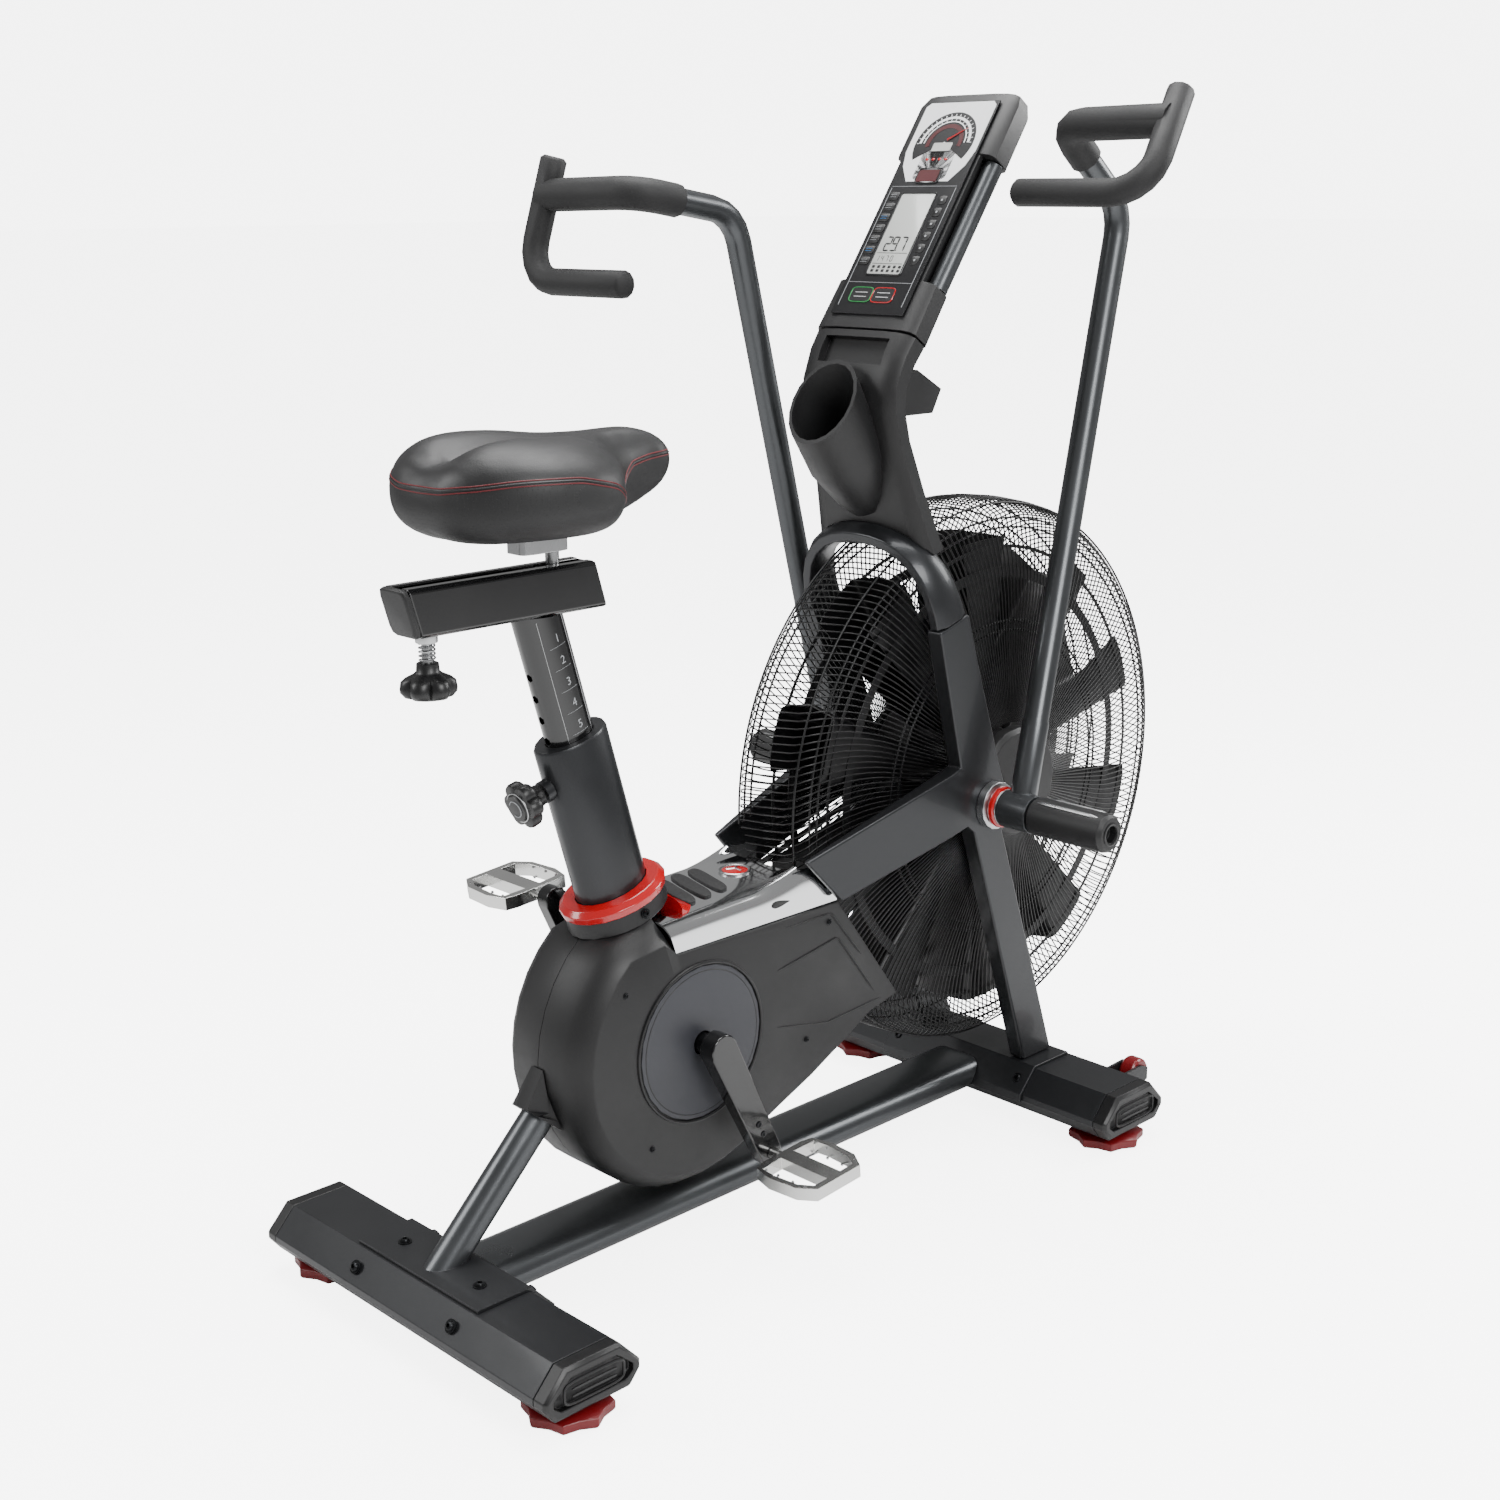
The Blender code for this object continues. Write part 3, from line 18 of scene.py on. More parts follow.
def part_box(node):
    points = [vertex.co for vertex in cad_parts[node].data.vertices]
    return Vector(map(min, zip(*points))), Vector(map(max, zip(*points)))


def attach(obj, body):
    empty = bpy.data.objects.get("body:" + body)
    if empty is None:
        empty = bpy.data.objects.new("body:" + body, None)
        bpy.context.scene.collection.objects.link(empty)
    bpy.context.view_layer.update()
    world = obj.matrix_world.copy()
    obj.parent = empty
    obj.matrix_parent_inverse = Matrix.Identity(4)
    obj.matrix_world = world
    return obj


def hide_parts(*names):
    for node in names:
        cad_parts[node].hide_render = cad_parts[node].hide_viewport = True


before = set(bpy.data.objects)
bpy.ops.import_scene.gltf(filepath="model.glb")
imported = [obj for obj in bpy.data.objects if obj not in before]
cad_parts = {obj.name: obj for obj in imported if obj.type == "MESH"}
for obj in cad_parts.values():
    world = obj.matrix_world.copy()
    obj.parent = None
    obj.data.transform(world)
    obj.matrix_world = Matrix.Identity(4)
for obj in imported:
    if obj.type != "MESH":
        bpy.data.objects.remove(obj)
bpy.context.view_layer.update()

log = logging.getLogger("air_bike")

MID_X, FLOOR_Z = 0.5831, 0.006
Shape = tuple[np.ndarray, list[tuple[int, ...]]]


# ---------------------------------------------------------------- colour and nodes
def linear(code: str) -> tuple[float, float, float, float]:
    """Turn an sRGB hex colour into linear RGBA.

    Args:
        code: six hex digits.
    Returns:
        Red, green, blue and alpha between 0 and 1.
    """
    part = np.array([int(code[i:i + 2], 16) / 255.0 for i in (0, 2, 4)])
    lin = np.where(part <= 0.04045, part / 12.92, ((part + 0.055) / 1.055) ** 2.4)
    return float(lin[0]), float(lin[1]), float(lin[2]), 1.0


def add_node(tree: bpy.types.NodeTree, kind: str, links: dict | None = None, **settings) -> bpy.types.Node:
    """Add one node, with its settings and links.

    Args:
        tree: the node tree that gets it.
        kind: Blender's class name of the node.
        links: input name or number -> output socket, or a plain value.
        settings: attributes of the node.
    Returns:
        The new node.
    """
    node = tree.nodes.new(kind)
    for name, value in settings.items():
        setattr(node, name, value)
    for name, value in (links or {}).items():
        if isinstance(value, bpy.types.NodeSocket):
            tree.links.new(value, node.inputs[name])
        else:
            node.inputs[name].default_value = value
    return node


class Pattern(enum.Enum):
    """What the surface of a finish shows close up."""
    POWDER = "powder"            # fine orange peel of a baked powder coat
    MOULDED = "moulded"          # spark-eroded grain of moulded plastic
    GLOSS = "gloss"              # smooth, with faint dust and handling marks
    BRUSHED = "brushed"          # fine lines of turned or brushed metal
    FOAM = "foam"                # closed-cell skin with pores
    VINYL = "vinyl"              # pebbled upholstery vinyl
    KNIT = "knit"                # dimpled side cloth of the saddle
    PERFORATED = "perforated"    # rows of round holes


@dataclass(frozen=True)
class Finish:
    """One finish: the real material, its colour, its gloss and its close-up pattern.

    grain is the size in millimetres of one grain, line or hole of the pattern, and depth is
    the height of its bump in millimetres.  wear is how much lighter the worn patches are.
    """
    name: str
    colour: str
    pattern: Pattern
    roughness: float = 0.5
    metallic: float = 0.0
    grain: float = 1.0
    depth: float = 0.05
    coat: float = 0.0
    wear: float = 0.25
    second: str = ""
    stretch: tuple[float, float, float] = (1.0, 1.0, 1.0)

    def material(self) -> bpy.types.Material:
        """Return the material, made on first use."""
        found = bpy.data.materials.get(self.name)
        return found if found else self.build()

    def build(self) -> bpy.types.Material:
        """Build the node tree: grain noise drives bump, and slow noise drives gloss and tone."""
        mat = bpy.data.materials.new(self.name)
        mat.use_nodes = True
        tree = mat.node_tree
        shader = tree.nodes["Principled BSDF"]
        shader.inputs["Metallic"].default_value = self.metallic
        if self.coat:
            shader.inputs["Coat Weight"].default_value = self.coat
            shader.inputs["Coat Roughness"].default_value = 0.06
        place = add_node(tree, "ShaderNodeTexCoord").outputs["Object"]
        scaled = add_node(tree, "ShaderNodeMapping", {"Vector": place}).outputs[0]
        scaled.node.inputs["Scale"].default_value = self.stretch
        fine = self.fine_pattern(tree, scaled)
        slow = add_node(tree, "ShaderNodeTexNoise",
                        {"Vector": place, "Scale": 9.0, "Detail": 4.0, "Roughness": 0.6}).outputs["Fac"]
        base = linear(self.colour)
        tone = tuple(min(1.0, c * (1.0 + self.wear) + 0.004 * self.wear) for c in base[:3]) + (1.0,)
        mixed = add_node(tree, "ShaderNodeMix", {0: slow, 6: base, 7: tone}, data_type="RGBA").outputs[2]
        if self.second:
            mixed = add_node(tree, "ShaderNodeMix", {0: fine, 6: linear(self.second), 7: mixed},
                             data_type="RGBA").outputs[2]
        tree.links.new(mixed, shader.inputs["Base Color"])
        gloss = add_node(tree, "ShaderNodeMapRange", {"Value": slow, "From Min": 0.25, "From Max": 0.75,
                                                      "To Min": max(0.02, self.roughness - 0.07),
                                                      "To Max": min(1.0, self.roughness + 0.07)})
        tree.links.new(gloss.outputs[0], shader.inputs["Roughness"])
        bump = add_node(tree, "ShaderNodeBump", {"Height": fine, "Distance": self.depth * 0.001,
                                                 "Strength": 1.0})
        tree.links.new(bump.outputs[0], shader.inputs["Normal"])
        return mat

    def fine_pattern(self, tree: bpy.types.NodeTree, place: bpy.types.NodeSocket) -> bpy.types.NodeSocket:
        """Return the socket with the close-up height, 0 in a pit and 1 on the surface.

        Args:
            tree: the material's node tree.
            place: scaled Object coordinates.
        Returns:
            A value socket.
        """
        per_metre = 1000.0 / self.grain
        if self.pattern in (Pattern.VINYL, Pattern.FOAM):
            cells = add_node(tree, "ShaderNodeTexVoronoi", {"Vector": place, "Scale": per_metre},
                             feature="SMOOTH_F1")
            return add_node(tree, "ShaderNodeMapRange", {"Value": cells.outputs["Distance"], "From Min": 0.1,
                                                         "From Max": 0.7, "To Min": 1.0, "To Max": 0.0}).outputs[0]
        if self.pattern in (Pattern.KNIT, Pattern.PERFORATED):
            cells = add_node(tree, "ShaderNodeTexVoronoi", {"Vector": place, "Scale": per_metre,
                                                            "Randomness": 0.0})
            low = 0.25 if self.pattern is Pattern.PERFORATED else 0.18
            return add_node(tree, "ShaderNodeMapRange",
                            {"Value": cells.outputs["Distance"], "From Min": low, "From Max": low + 0.08,
                             "To Min": 0.0, "To Max": 1.0}).outputs[0]
        detail = 1.0 if self.pattern is Pattern.GLOSS else 3.0
        return add_node(tree, "ShaderNodeTexNoise",
                        {"Vector": place, "Scale": per_metre, "Detail": detail}).outputs["Fac"]


# Baked powder coat is satin with a slight orange peel, drawn coarser than the real 0.5 mm.
GRAPHITE = Finish("powder_coat_graphite", "2B2C2E", Pattern.POWDER, 0.34, 0.60, 1.6, 0.05, coat=0.15)
CHARCOAL = Finish("powder_coat_charcoal", "1F2022", Pattern.POWDER, 0.40, 0.35, 1.6, 0.05, coat=0.12)
SILVER_GREY = Finish("powder_coat_silver_grey", "4B4D4F", Pattern.POWDER, 0.32, 0.80, 1.6, 0.04, coat=0.1)
# Moulded ABS has a spark-eroded grain that scatters the light softly.
BLACK_ABS = Finish("abs_moulded_black", "111112", Pattern.MOULDED, 0.50, 0.0, 1.2, 0.05)
DARK_ABS = Finish("abs_moulded_dark", "0C0C0D", Pattern.MOULDED, 0.42, 0.0, 1.2, 0.04)
SLATE_ABS = Finish("abs_moulded_slate", "2C2D32", Pattern.MOULDED, 0.46, 0.0, 1.2, 0.04)
RED_NYLON = Finish("nylon_moulded_red", "6E0A10", Pattern.MOULDED, 0.36, 0.0, 1.5, 0.04, coat=0.2)
RED_GLOSS = Finish("polycarbonate_gloss_red", "A8060E", Pattern.GLOSS, 0.22, 0.0, 3.0, 0.01, coat=0.6)
GLOSS_BLACK = Finish("enamel_gloss_black", "0C0C0D", Pattern.GLOSS, 0.14, 0.0, 4.0, 0.01, coat=0.5)
SATIN_WIRE = Finish("enamel_wire_black", "0D0D0E", Pattern.GLOSS, 0.34, 0.2, 3.0, 0.01)
CHROME = Finish("chrome_plated_abs", "E6E7E8", Pattern.GLOSS, 0.09, 1.0, 6.0, 0.004, wear=0.05)
POLISHED = Finish("aluminium_polished_cast", "D8D8D6", Pattern.BRUSHED, 0.20, 1.0, 1.2, 0.02, wear=0.1,
                  stretch=(1.0, 0.15, 1.0))
STEEL = Finish("steel_zinc_plated", "B4B5B6", Pattern.BRUSHED, 0.28, 1.0, 0.8, 0.01, wear=0.1,
               stretch=(1.0, 1.0, 0.2))
DARK_STEEL = Finish("steel_black_oxide", "1C1D1F", Pattern.BRUSHED, 0.32, 0.8, 0.8, 0.01)
GRIP_FOAM = Finish("nitrile_foam_black", "111112", Pattern.FOAM, 0.66, 0.0, 1.6, 0.10)
VINYL = Finish("vinyl_upholstery_black", "101011", Pattern.VINYL, 0.50, 0.0, 1.3, 0.06)
SIDE_CLOTH = Finish("saddle_side_cloth", "0F0F10", Pattern.KNIT, 0.60, 0.0, 2.6, 0.20, second="0A0A0B")
RED_THREAD = Finish("thread_dark_red", "5A0D13", Pattern.BRUSHED, 0.55, 0.0, 0.8, 0.05)
BLADE = Finish("steel_perforated_black", "131314", Pattern.PERFORATED, 0.42, 0.2, 11.0, 0.3, second="08080A")
WHITE_PANEL = Finish("overlay_white", "E4E5E6", Pattern.GLOSS, 0.30, 0.0, 3.0, 0.005, wear=0.03)
BLACK_PANEL = Finish("overlay_black", "0E0E10", Pattern.GLOSS, 0.30, 0.0, 3.0, 0.005)
LCD = Finish("lcd_glass_grey", "B4B6B3", Pattern.GLOSS, 0.16, 0.0, 3.0, 0.003, wear=0.05)
INK = Finish("print_ink_black", "101011", Pattern.GLOSS, 0.45, 0.0, 2.0, 0.003)
GREY_INK = Finish("print_ink_grey", "8B8D90", Pattern.GLOSS, 0.45, 0.0, 2.0, 0.003)
DARK_RED_INK = Finish("print_ink_dark_red", "3E080D", Pattern.GLOSS, 0.32, 0.0, 2.0, 0.003)
GREEN_INK = Finish("print_ink_green", "1F7A3C", Pattern.GLOSS, 0.40, 0.0, 2.0, 0.003)
BLUE_INK = Finish("print_ink_blue", "2E6DA4", Pattern.GLOSS, 0.40, 0.0, 2.0, 0.003)
RUBBER = Finish("rubber_moulded_black", "151516", Pattern.MOULDED, 0.70, 0.0, 1.4, 0.06)
PAPER_FLOOR = Finish("studio_floor_white", "F4F4F4", Pattern.GLOSS, 0.55, 0.0, 8.0, 0.0, wear=0.01)


# ---------------------------------------------------------------- shapes from formulas
def placed(points: np.ndarray) -> np.ndarray:
    """Move station coordinates to the origin under the bike."""
    return np.asarray(points, float).reshape(-1, 3) - (MID_X, 0.0, FLOOR_Z)


def grid_faces(rows: int, cols: int, wrap_rows: bool, wrap_cols: bool) -> np.ndarray:
    """Quads of a rows by cols grid of points; each quad joins a point, its row and column neighbours.

    Args:
        rows, cols: size of the grid.
        wrap_rows, wrap_cols: whether the last row or column joins the first.
    Returns:
        An (n, 4) array of vertex numbers.
    """
    i = np.arange(rows if wrap_rows else rows - 1)[:, None]
    j = np.arange(cols if wrap_cols else cols - 1)[None, :]
    i2, j2 = (i + 1) % rows, (j + 1) % cols
    quads = np.stack([i * cols + j, i * cols + j2, i2 * cols + j2, i2 * cols + j], axis=-1)
    return quads.reshape(-1, 4)


def sheet(points: np.ndarray, wrap_rows: bool = False, wrap_cols: bool = True, caps: bool = True) -> Shape:
    """A surface over a grid of points, its open ends closed with one face each.

    Args:
        points: (rows, cols, 3) array.
        wrap_rows, wrap_cols: whether the grid closes on itself.
        caps: close the first and last row.
    Returns:
        The shape.
    """
    rows, cols = points.shape[:2]
    faces = [tuple(f) for f in grid_faces(rows, cols, wrap_rows, wrap_cols).tolist()]
    if caps and wrap_cols and not wrap_rows:
        faces.append(tuple(range(cols))[::-1])
        faces.append(tuple((rows - 1) * cols + k for k in range(cols)))
    return points.reshape(-1, 3), faces


def joined(shapes: list[Shape]) -> Shape:
    """Put several shapes in one, without welding them."""
    points, faces, start = [], [], 0
    for pts, fcs in shapes:
        pts = np.asarray(pts, float).reshape(-1, 3)
        points.append(pts)
        faces += [tuple(i + start for i in f) for f in fcs]
        start += len(pts)
    return np.vstack(points), faces


def axes_of(direction: np.ndarray) -> tuple[np.ndarray, np.ndarray, np.ndarray]:
    """Unit direction and two unit vectors across it."""
    d = np.asarray(direction, float) / np.linalg.norm(direction)
    helper = np.array([0.0, 0.0, 1.0]) if abs(d[2]) < 0.9 else np.array([1.0, 0.0, 0.0])
    u = np.cross(helper, d)
    u /= np.linalg.norm(u)
    return d, u, np.cross(d, u)


def turned(profile: list[tuple[float, float]], centre: tuple, direction: tuple, sides: int = 24,
           hexes: tuple[int, ...] = (), hollow: bool = False) -> Shape:
    """A turned shape: each (radius, height) of the profile is carried round the axis.

    Args:
        profile: (radius, height along the axis) pairs.
        centre: foot of the axis.
        direction: direction of the axis.
        sides: points around.
        hexes: rows whose circle becomes a hexagon with that radius at its corners.
        hollow: join the last row to the first, for a ring, rather than closing both ends.
    Returns:
        The closed shape.
    """
    d, u, v = axes_of(np.asarray(direction))
    turn = np.arange(sides) * 2.0 * math.pi / sides
    ring = np.cos(turn)[:, None] * u + np.sin(turn)[:, None] * v
    flat = math.cos(math.pi / 6) / np.cos((turn % (math.pi / 3)) - math.pi / 6)
    rows = [np.asarray(centre) + d * h + ring * r * (flat if k in hexes else np.ones(sides))[:, None]
            for k, (r, h) in enumerate(profile)]
    return sheet(np.array(rows), wrap_rows=hollow)


def tube(path: np.ndarray, radius: float | np.ndarray, sides: int = 8, closed: bool = False,
         section: np.ndarray | None = None) -> Shape:
    """A section carried along a path; its frame turns by the least that keeps it square to the path.

    Args:
        path: (n, 3) points.
        radius: size of the section, one value or one per point.
        sides: points around a round section.
        closed: the path is a loop.
        section: (m, 2) section to use in place of a circle.
    Returns:
        The closed shape.
    """
    path = np.asarray(path, float)
    ahead = np.roll(path, -1, 0) - np.roll(path, 1, 0)
    if not closed:
        ahead[0], ahead[-1] = path[1] - path[0], path[-1] - path[-2]
    ahead /= np.linalg.norm(ahead, axis=1)[:, None]
    if section is None:
        turn = np.arange(sides) * 2.0 * math.pi / sides
        section = np.column_stack([np.cos(turn), np.sin(turn)])
    side = axes_of(ahead[0])[1]
    sides_along = np.empty_like(path)
    for k, d in enumerate(ahead):
        side = side - d * np.dot(side, d)
        side /= np.linalg.norm(side)
        sides_along[k] = side
    over = np.cross(ahead, sides_along)
    size = np.broadcast_to(np.asarray(radius, float), (len(path),))
    rows = path[:, None] + size[:, None, None] * (section[None, :, :1] * sides_along[:, None]
                                                  + section[None, :, 1:] * over[:, None])
    return sheet(rows, wrap_rows=closed)


def circle(centre: tuple, radius: float, count: int, start: float = 0.0, end: float = 360.0) -> np.ndarray:
    """Points on a circle or arc in the upright (x, z) plane, angles in degrees from forward."""
    full = abs(end - start) >= 360.0
    turn = np.radians(np.linspace(start, end, count, endpoint=not full))
    return np.column_stack([centre[0] + radius * np.cos(turn), np.full(count, centre[1]),
                            centre[2] + radius * np.sin(turn)])


def slab(outline: np.ndarray, low: float, high: float, put, round_off: float = 0.0) -> Shape:
    """A flat plate from an outline in a plane, with its upper edge eased.

    Args:
        outline: (n, 2) points going round.
        low, high: heights of its two faces over the plane.
        put: function from (a, b, height) arrays to (n, 3) points.
        round_off: how far the upper edge is eased.
    Returns:
        The closed shape.
    """
    flat = np.asarray(outline, float)
    middle = flat.mean(0)
    inner = middle + (flat - middle) * (1.0 - round_off / np.maximum(
        np.linalg.norm(flat - middle, axis=1), 1e-6))[:, None]
    rows = [put(flat[:, 0], flat[:, 1], np.full(len(flat), low)),
            put(flat[:, 0], flat[:, 1], np.full(len(flat), high - round_off * 0.5)),
            put(inner[:, 0], inner[:, 1], np.full(len(flat), high))]
    return sheet(np.array(rows))


def rounded(half_a: float, half_b: float, power: float = 5.0, count: int = 32,
            centre: tuple[float, float] = (0.0, 0.0)) -> np.ndarray:
    """A superellipse outline: |a / half_a|^power + |b / half_b|^power = 1."""
    turn = np.arange(count) * 2.0 * math.pi / count
    c, s = np.cos(turn), np.sin(turn)
    a = half_a * np.sign(c) * np.abs(c) ** (2.0 / power)
    b = half_b * np.sign(s) * np.abs(s) ** (2.0 / power)
    return np.column_stack([a + centre[0], b + centre[1]])


def lobed_knob(centre: tuple, direction: tuple, rows: list[tuple[float, float, float]], lobes: int = 6,
               sides: int = 96) -> Shape:
    """A turned grip whose radius swells in lobes: r = R (1 + depth (|cos(lobes t / 2)| - 0.6)).

    Args:
        centre: foot of the axis.
        direction: direction of the axis.
        rows: (radius, height, depth of the lobes) of each ring.
        lobes: number of lobes.
        sides: points around.
    Returns:
        The closed shape.
    """
    d, u, v = axes_of(np.asarray(direction))
    turn = np.arange(sides) * 2.0 * math.pi / sides
    ring = np.cos(turn)[:, None] * u + np.sin(turn)[:, None] * v
    wave = np.abs(np.cos(0.5 * lobes * turn)) ** 0.8 - 0.6
    return sheet(np.array([np.asarray(centre) + d * h + ring * (r * (1.0 + depth * wave))[:, None]
                           for r, h, depth in rows]))


def soft_box(half_a: float, half_b: float, corner: float, centre: tuple[float, float] = (0.0, 0.0),
             count: int = 8) -> np.ndarray:
    """A rectangle whose corners are quarter circles of radius `corner`."""
    turn = np.radians(np.linspace(0.0, 90.0, count))
    parts = []
    for k, (sa, sb) in enumerate(((1, 1), (-1, 1), (-1, -1), (1, -1))):
        t = turn + k * 0.5 * math.pi
        parts.append(np.column_stack([sa * (half_a - corner) + corner * np.cos(t),
                                      sb * (half_b - corner) + corner * np.sin(t)]))
    return np.vstack(parts) + centre


# ---------------------------------------------------------------- making pieces
def finish_mesh(obj: bpy.types.Object, smooth: float) -> None:
    """Point the faces outwards and shade them smooth up to an angle in degrees."""
    work = bmesh.new()
    work.from_mesh(obj.data)
    bmesh.ops.remove_doubles(work, verts=work.verts, dist=1e-6)
    bmesh.ops.recalc_face_normals(work, faces=work.faces)
    limit = math.radians(smooth)
    for edge in work.edges:
        edge.smooth = len(edge.link_faces) == 2 and edge.calc_face_angle(0.0) < limit
    for face in work.faces:
        face.smooth = True
    work.to_mesh(obj.data)
    work.free()


def piece(name: str, shape: Shape, finish: Finish, body: str, slot: str, *nodes: str,
          smooth: float = 35.0, at_origin: bool = False) -> bpy.types.Object:
    """Make one piece that rides on a body.

    Args:
        name: name of the piece.
        shape: points and faces in station coordinates.
        finish: what it is made of.
        body: the CAD body that it moves with.
        slot: the record's material slot; not used.
        nodes: CAD nodes that it stands for.
        smooth: angle in degrees up to which an edge is shaded smooth.
        at_origin: the shape is already placed.
    Returns:
        The object.
    """
    points = np.asarray(shape[0], float).reshape(-1, 3) if at_origin else placed(shape[0])
    mesh = bpy.data.meshes.new(name)
    mesh.from_pydata(points.tolist(), [], [list(f) for f in shape[1]])
    obj = bpy.data.objects.new(name, mesh)
    bpy.context.scene.collection.objects.link(obj)
    finish_mesh(obj, smooth)
    mesh.materials.append(finish.material())
    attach(obj, body)
    if nodes:
        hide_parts(*nodes)
    log.info("%s: %d faces", name, len(mesh.polygons))
    return obj


def node_shape(node: str) -> Shape:
    """Welded copy of a CAD node's mesh, already placed."""
    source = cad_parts[node].data
    work = bmesh.new()
    work.from_mesh(source)
    bmesh.ops.remove_doubles(work, verts=work.verts, dist=2e-5)
    bmesh.ops.dissolve_limit(work, angle_limit=math.radians(0.6), verts=work.verts, edges=work.edges)
    points = np.array([v.co[:] for v in work.verts])
    work.verts.index_update()
    faces = [tuple(v.index for v in f.verts) for f in work.faces]
    work.free()
    return points, faces


def refined(node: str, finish: Finish, body: str, slot: str, bevel: float = 0.0012,
            smooth: float = 35.0) -> bpy.types.Object:
    """A smooth-shaded copy of a CAD node with its sharp edges rounded.

    Args:
        node: the CAD node, which the piece stands for.
        finish: what it is made of.
        body: the body it moves with.
        slot: the record's material slot; handed to piece, which does not use it.
        bevel: width of the rounded edge; 0 leaves the edges sharp.
        smooth: angle up to which an edge is shaded smooth.
    Returns:
        The object.
    """
    obj = piece(f"{node}_skin", node_shape(node), finish, body, slot, node, smooth=smooth, at_origin=True)
    if bevel:
        edge = obj.modifiers.new("eased_edges", "BEVEL")
        edge.width = bevel
        edge.segments = 2
        edge.limit_method = "ANGLE"
        edge.angle_limit = math.radians(max(smooth, 32.0))
        edge.harden_normals = True
        edge.use_clamp_overlap = True
    return obj


def socket_bolt(centre: tuple, direction: tuple, radius: float = 0.0055) -> Shape:
    """Button-head bolt on a washer: the socket in its head is a hexagon."""
    r = radius
    profile = [(1.45 * r, -0.0002), (1.45 * r, 0.0010), (1.05 * r, 0.0011), (1.0 * r, 0.0011 + 0.25 * r),
               (0.80 * r, 0.0011 + 0.55 * r), (0.52 * r, 0.0011 + 0.62 * r), (0.50 * r, 0.0011 + 0.15 * r)]
    return turned(profile, centre, direction, 24, hexes=(5, 6))


# ---------------------------------------------------------------- sub-assemblies
@dataclass
class Base:
    """Stabilisers, end caps, beam, strut, bent plates, levelling feet and wheels."""
    front_x: float = 0.934
    foot_y: float = 0.218
    cap_y: float = 0.263

    def build(self) -> None:
        """Dress the carried-over parts and add the bolts and cap slots."""
        for node in ("rear_stabiliser", "front_stabiliser", "front_bracket"):
            refined(node, CHARCOAL, "frame", "frame_paint", 0.0010)
        refined("main_beam", SILVER_GREY, "frame", "frame_paint", 0.0)
        strut = refined("rear_strut", SILVER_GREY, "frame", "frame_paint", 0.0008)
        self.darken_sleeve(strut)
        for end in ("rear", "front"):
            for side in ("left", "right"):
                refined(f"{end}_cap_{side}", DARK_ABS, "frame", "black_plastic", 0.0016)
                refined(f"{end}_foot_{side}", RED_NYLON, f"{end}_foot_{side}", "red_plastic", 0.0012)
        for side in ("left", "right"):
            refined(f"wheel_{side}", RED_NYLON, f"wheel_{side}", "red_plastic", 0.0012)
        self.add_bolts()
        self.add_cap_slots()

    def darken_sleeve(self, strut: bpy.types.Object) -> None:
        """Give the sleeve at the strut's upper end and the plate at its foot their own finishes.

        The sleeve is every face further than 0.168 m along the line from the strut's foot.
        """
        mesh = strut.data
        mesh.materials.append(BLACK_ABS.material())
        mesh.materials.append(CHARCOAL.material())
        centres = np.empty(len(mesh.polygons) * 3)
        mesh.polygons.foreach_get("center", centres)
        centres = centres.reshape(-1, 3)
        foot = placed(np.array([0.005, 0.0, 0.0895]))[0]
        line = np.array([0.149 - 0.005, 0.0, 0.2315 - 0.0895])
        line /= np.linalg.norm(line)
        along = (centres - foot) @ line
        index = np.where(along > 0.166, 1, np.where(centres[:, 2] < 0.0895 - FLOOR_Z + 0.0042, 2, 0))
        mesh.polygons.foreach_set("material_index", index.astype(np.int32))

    def add_bolts(self) -> None:
        """Black button-head bolts of both bent plates."""
        top = 0.0880 + 0.0040
        rear = [socket_bolt((0.0, y, top), (0.0, 0.0, 1.0)) for y in (-0.070, 0.070)]
        slope = (-0.83, 0.0, 0.55)
        rear += [socket_bolt((-0.0545, y, 0.0735), slope) for y in (-0.090, 0.090)]
        rear += [socket_bolt((0.0545, y, 0.0735), (0.83, 0.0, 0.55)) for y in (-0.090, 0.090)]
        front = [socket_bolt((self.front_x, y, top), (0.0, 0.0, 1.0)) for y in (-0.070, 0.070)]
        front += [socket_bolt((self.front_x - 0.0545, y, 0.0735), slope) for y in (-0.108, 0.108)]
        piece("rear_plate_bolts", joined(rear), DARK_STEEL, "frame", "steel")
        piece("front_plate_bolts", joined(front), DARK_STEEL, "frame", "steel")

    def add_cap_slots(self) -> None:
        """Sunk-looking slot with a raised rim on the outer face of each end cap."""
        shapes = []
        for x in (0.0, self.front_x):
            for sign in (1.0, -1.0):
                def put(a, b, h, x=x, sign=sign):
                    """Outline plane of this cap's outer face."""
                    return np.column_stack([x + a, sign * (self.cap_y + h), 0.0590 + b])
                outer = rounded(0.040, 0.0125, 5.0, 40)
                path = put(outer[:, 0], outer[:, 1], np.zeros(40))
                shapes.append(tube(path, 0.0016, 6, closed=True))
                for row in (-0.004, 0.004):
                    inner = rounded(0.030, 0.0014, 4.0, 24, (0.0, row))
                    shapes.append(slab(inner, -0.0004, 0.0010, put, 0.0004))
        piece("cap_slot_rims", joined(shapes), BLACK_ABS, "frame", "black_plastic")


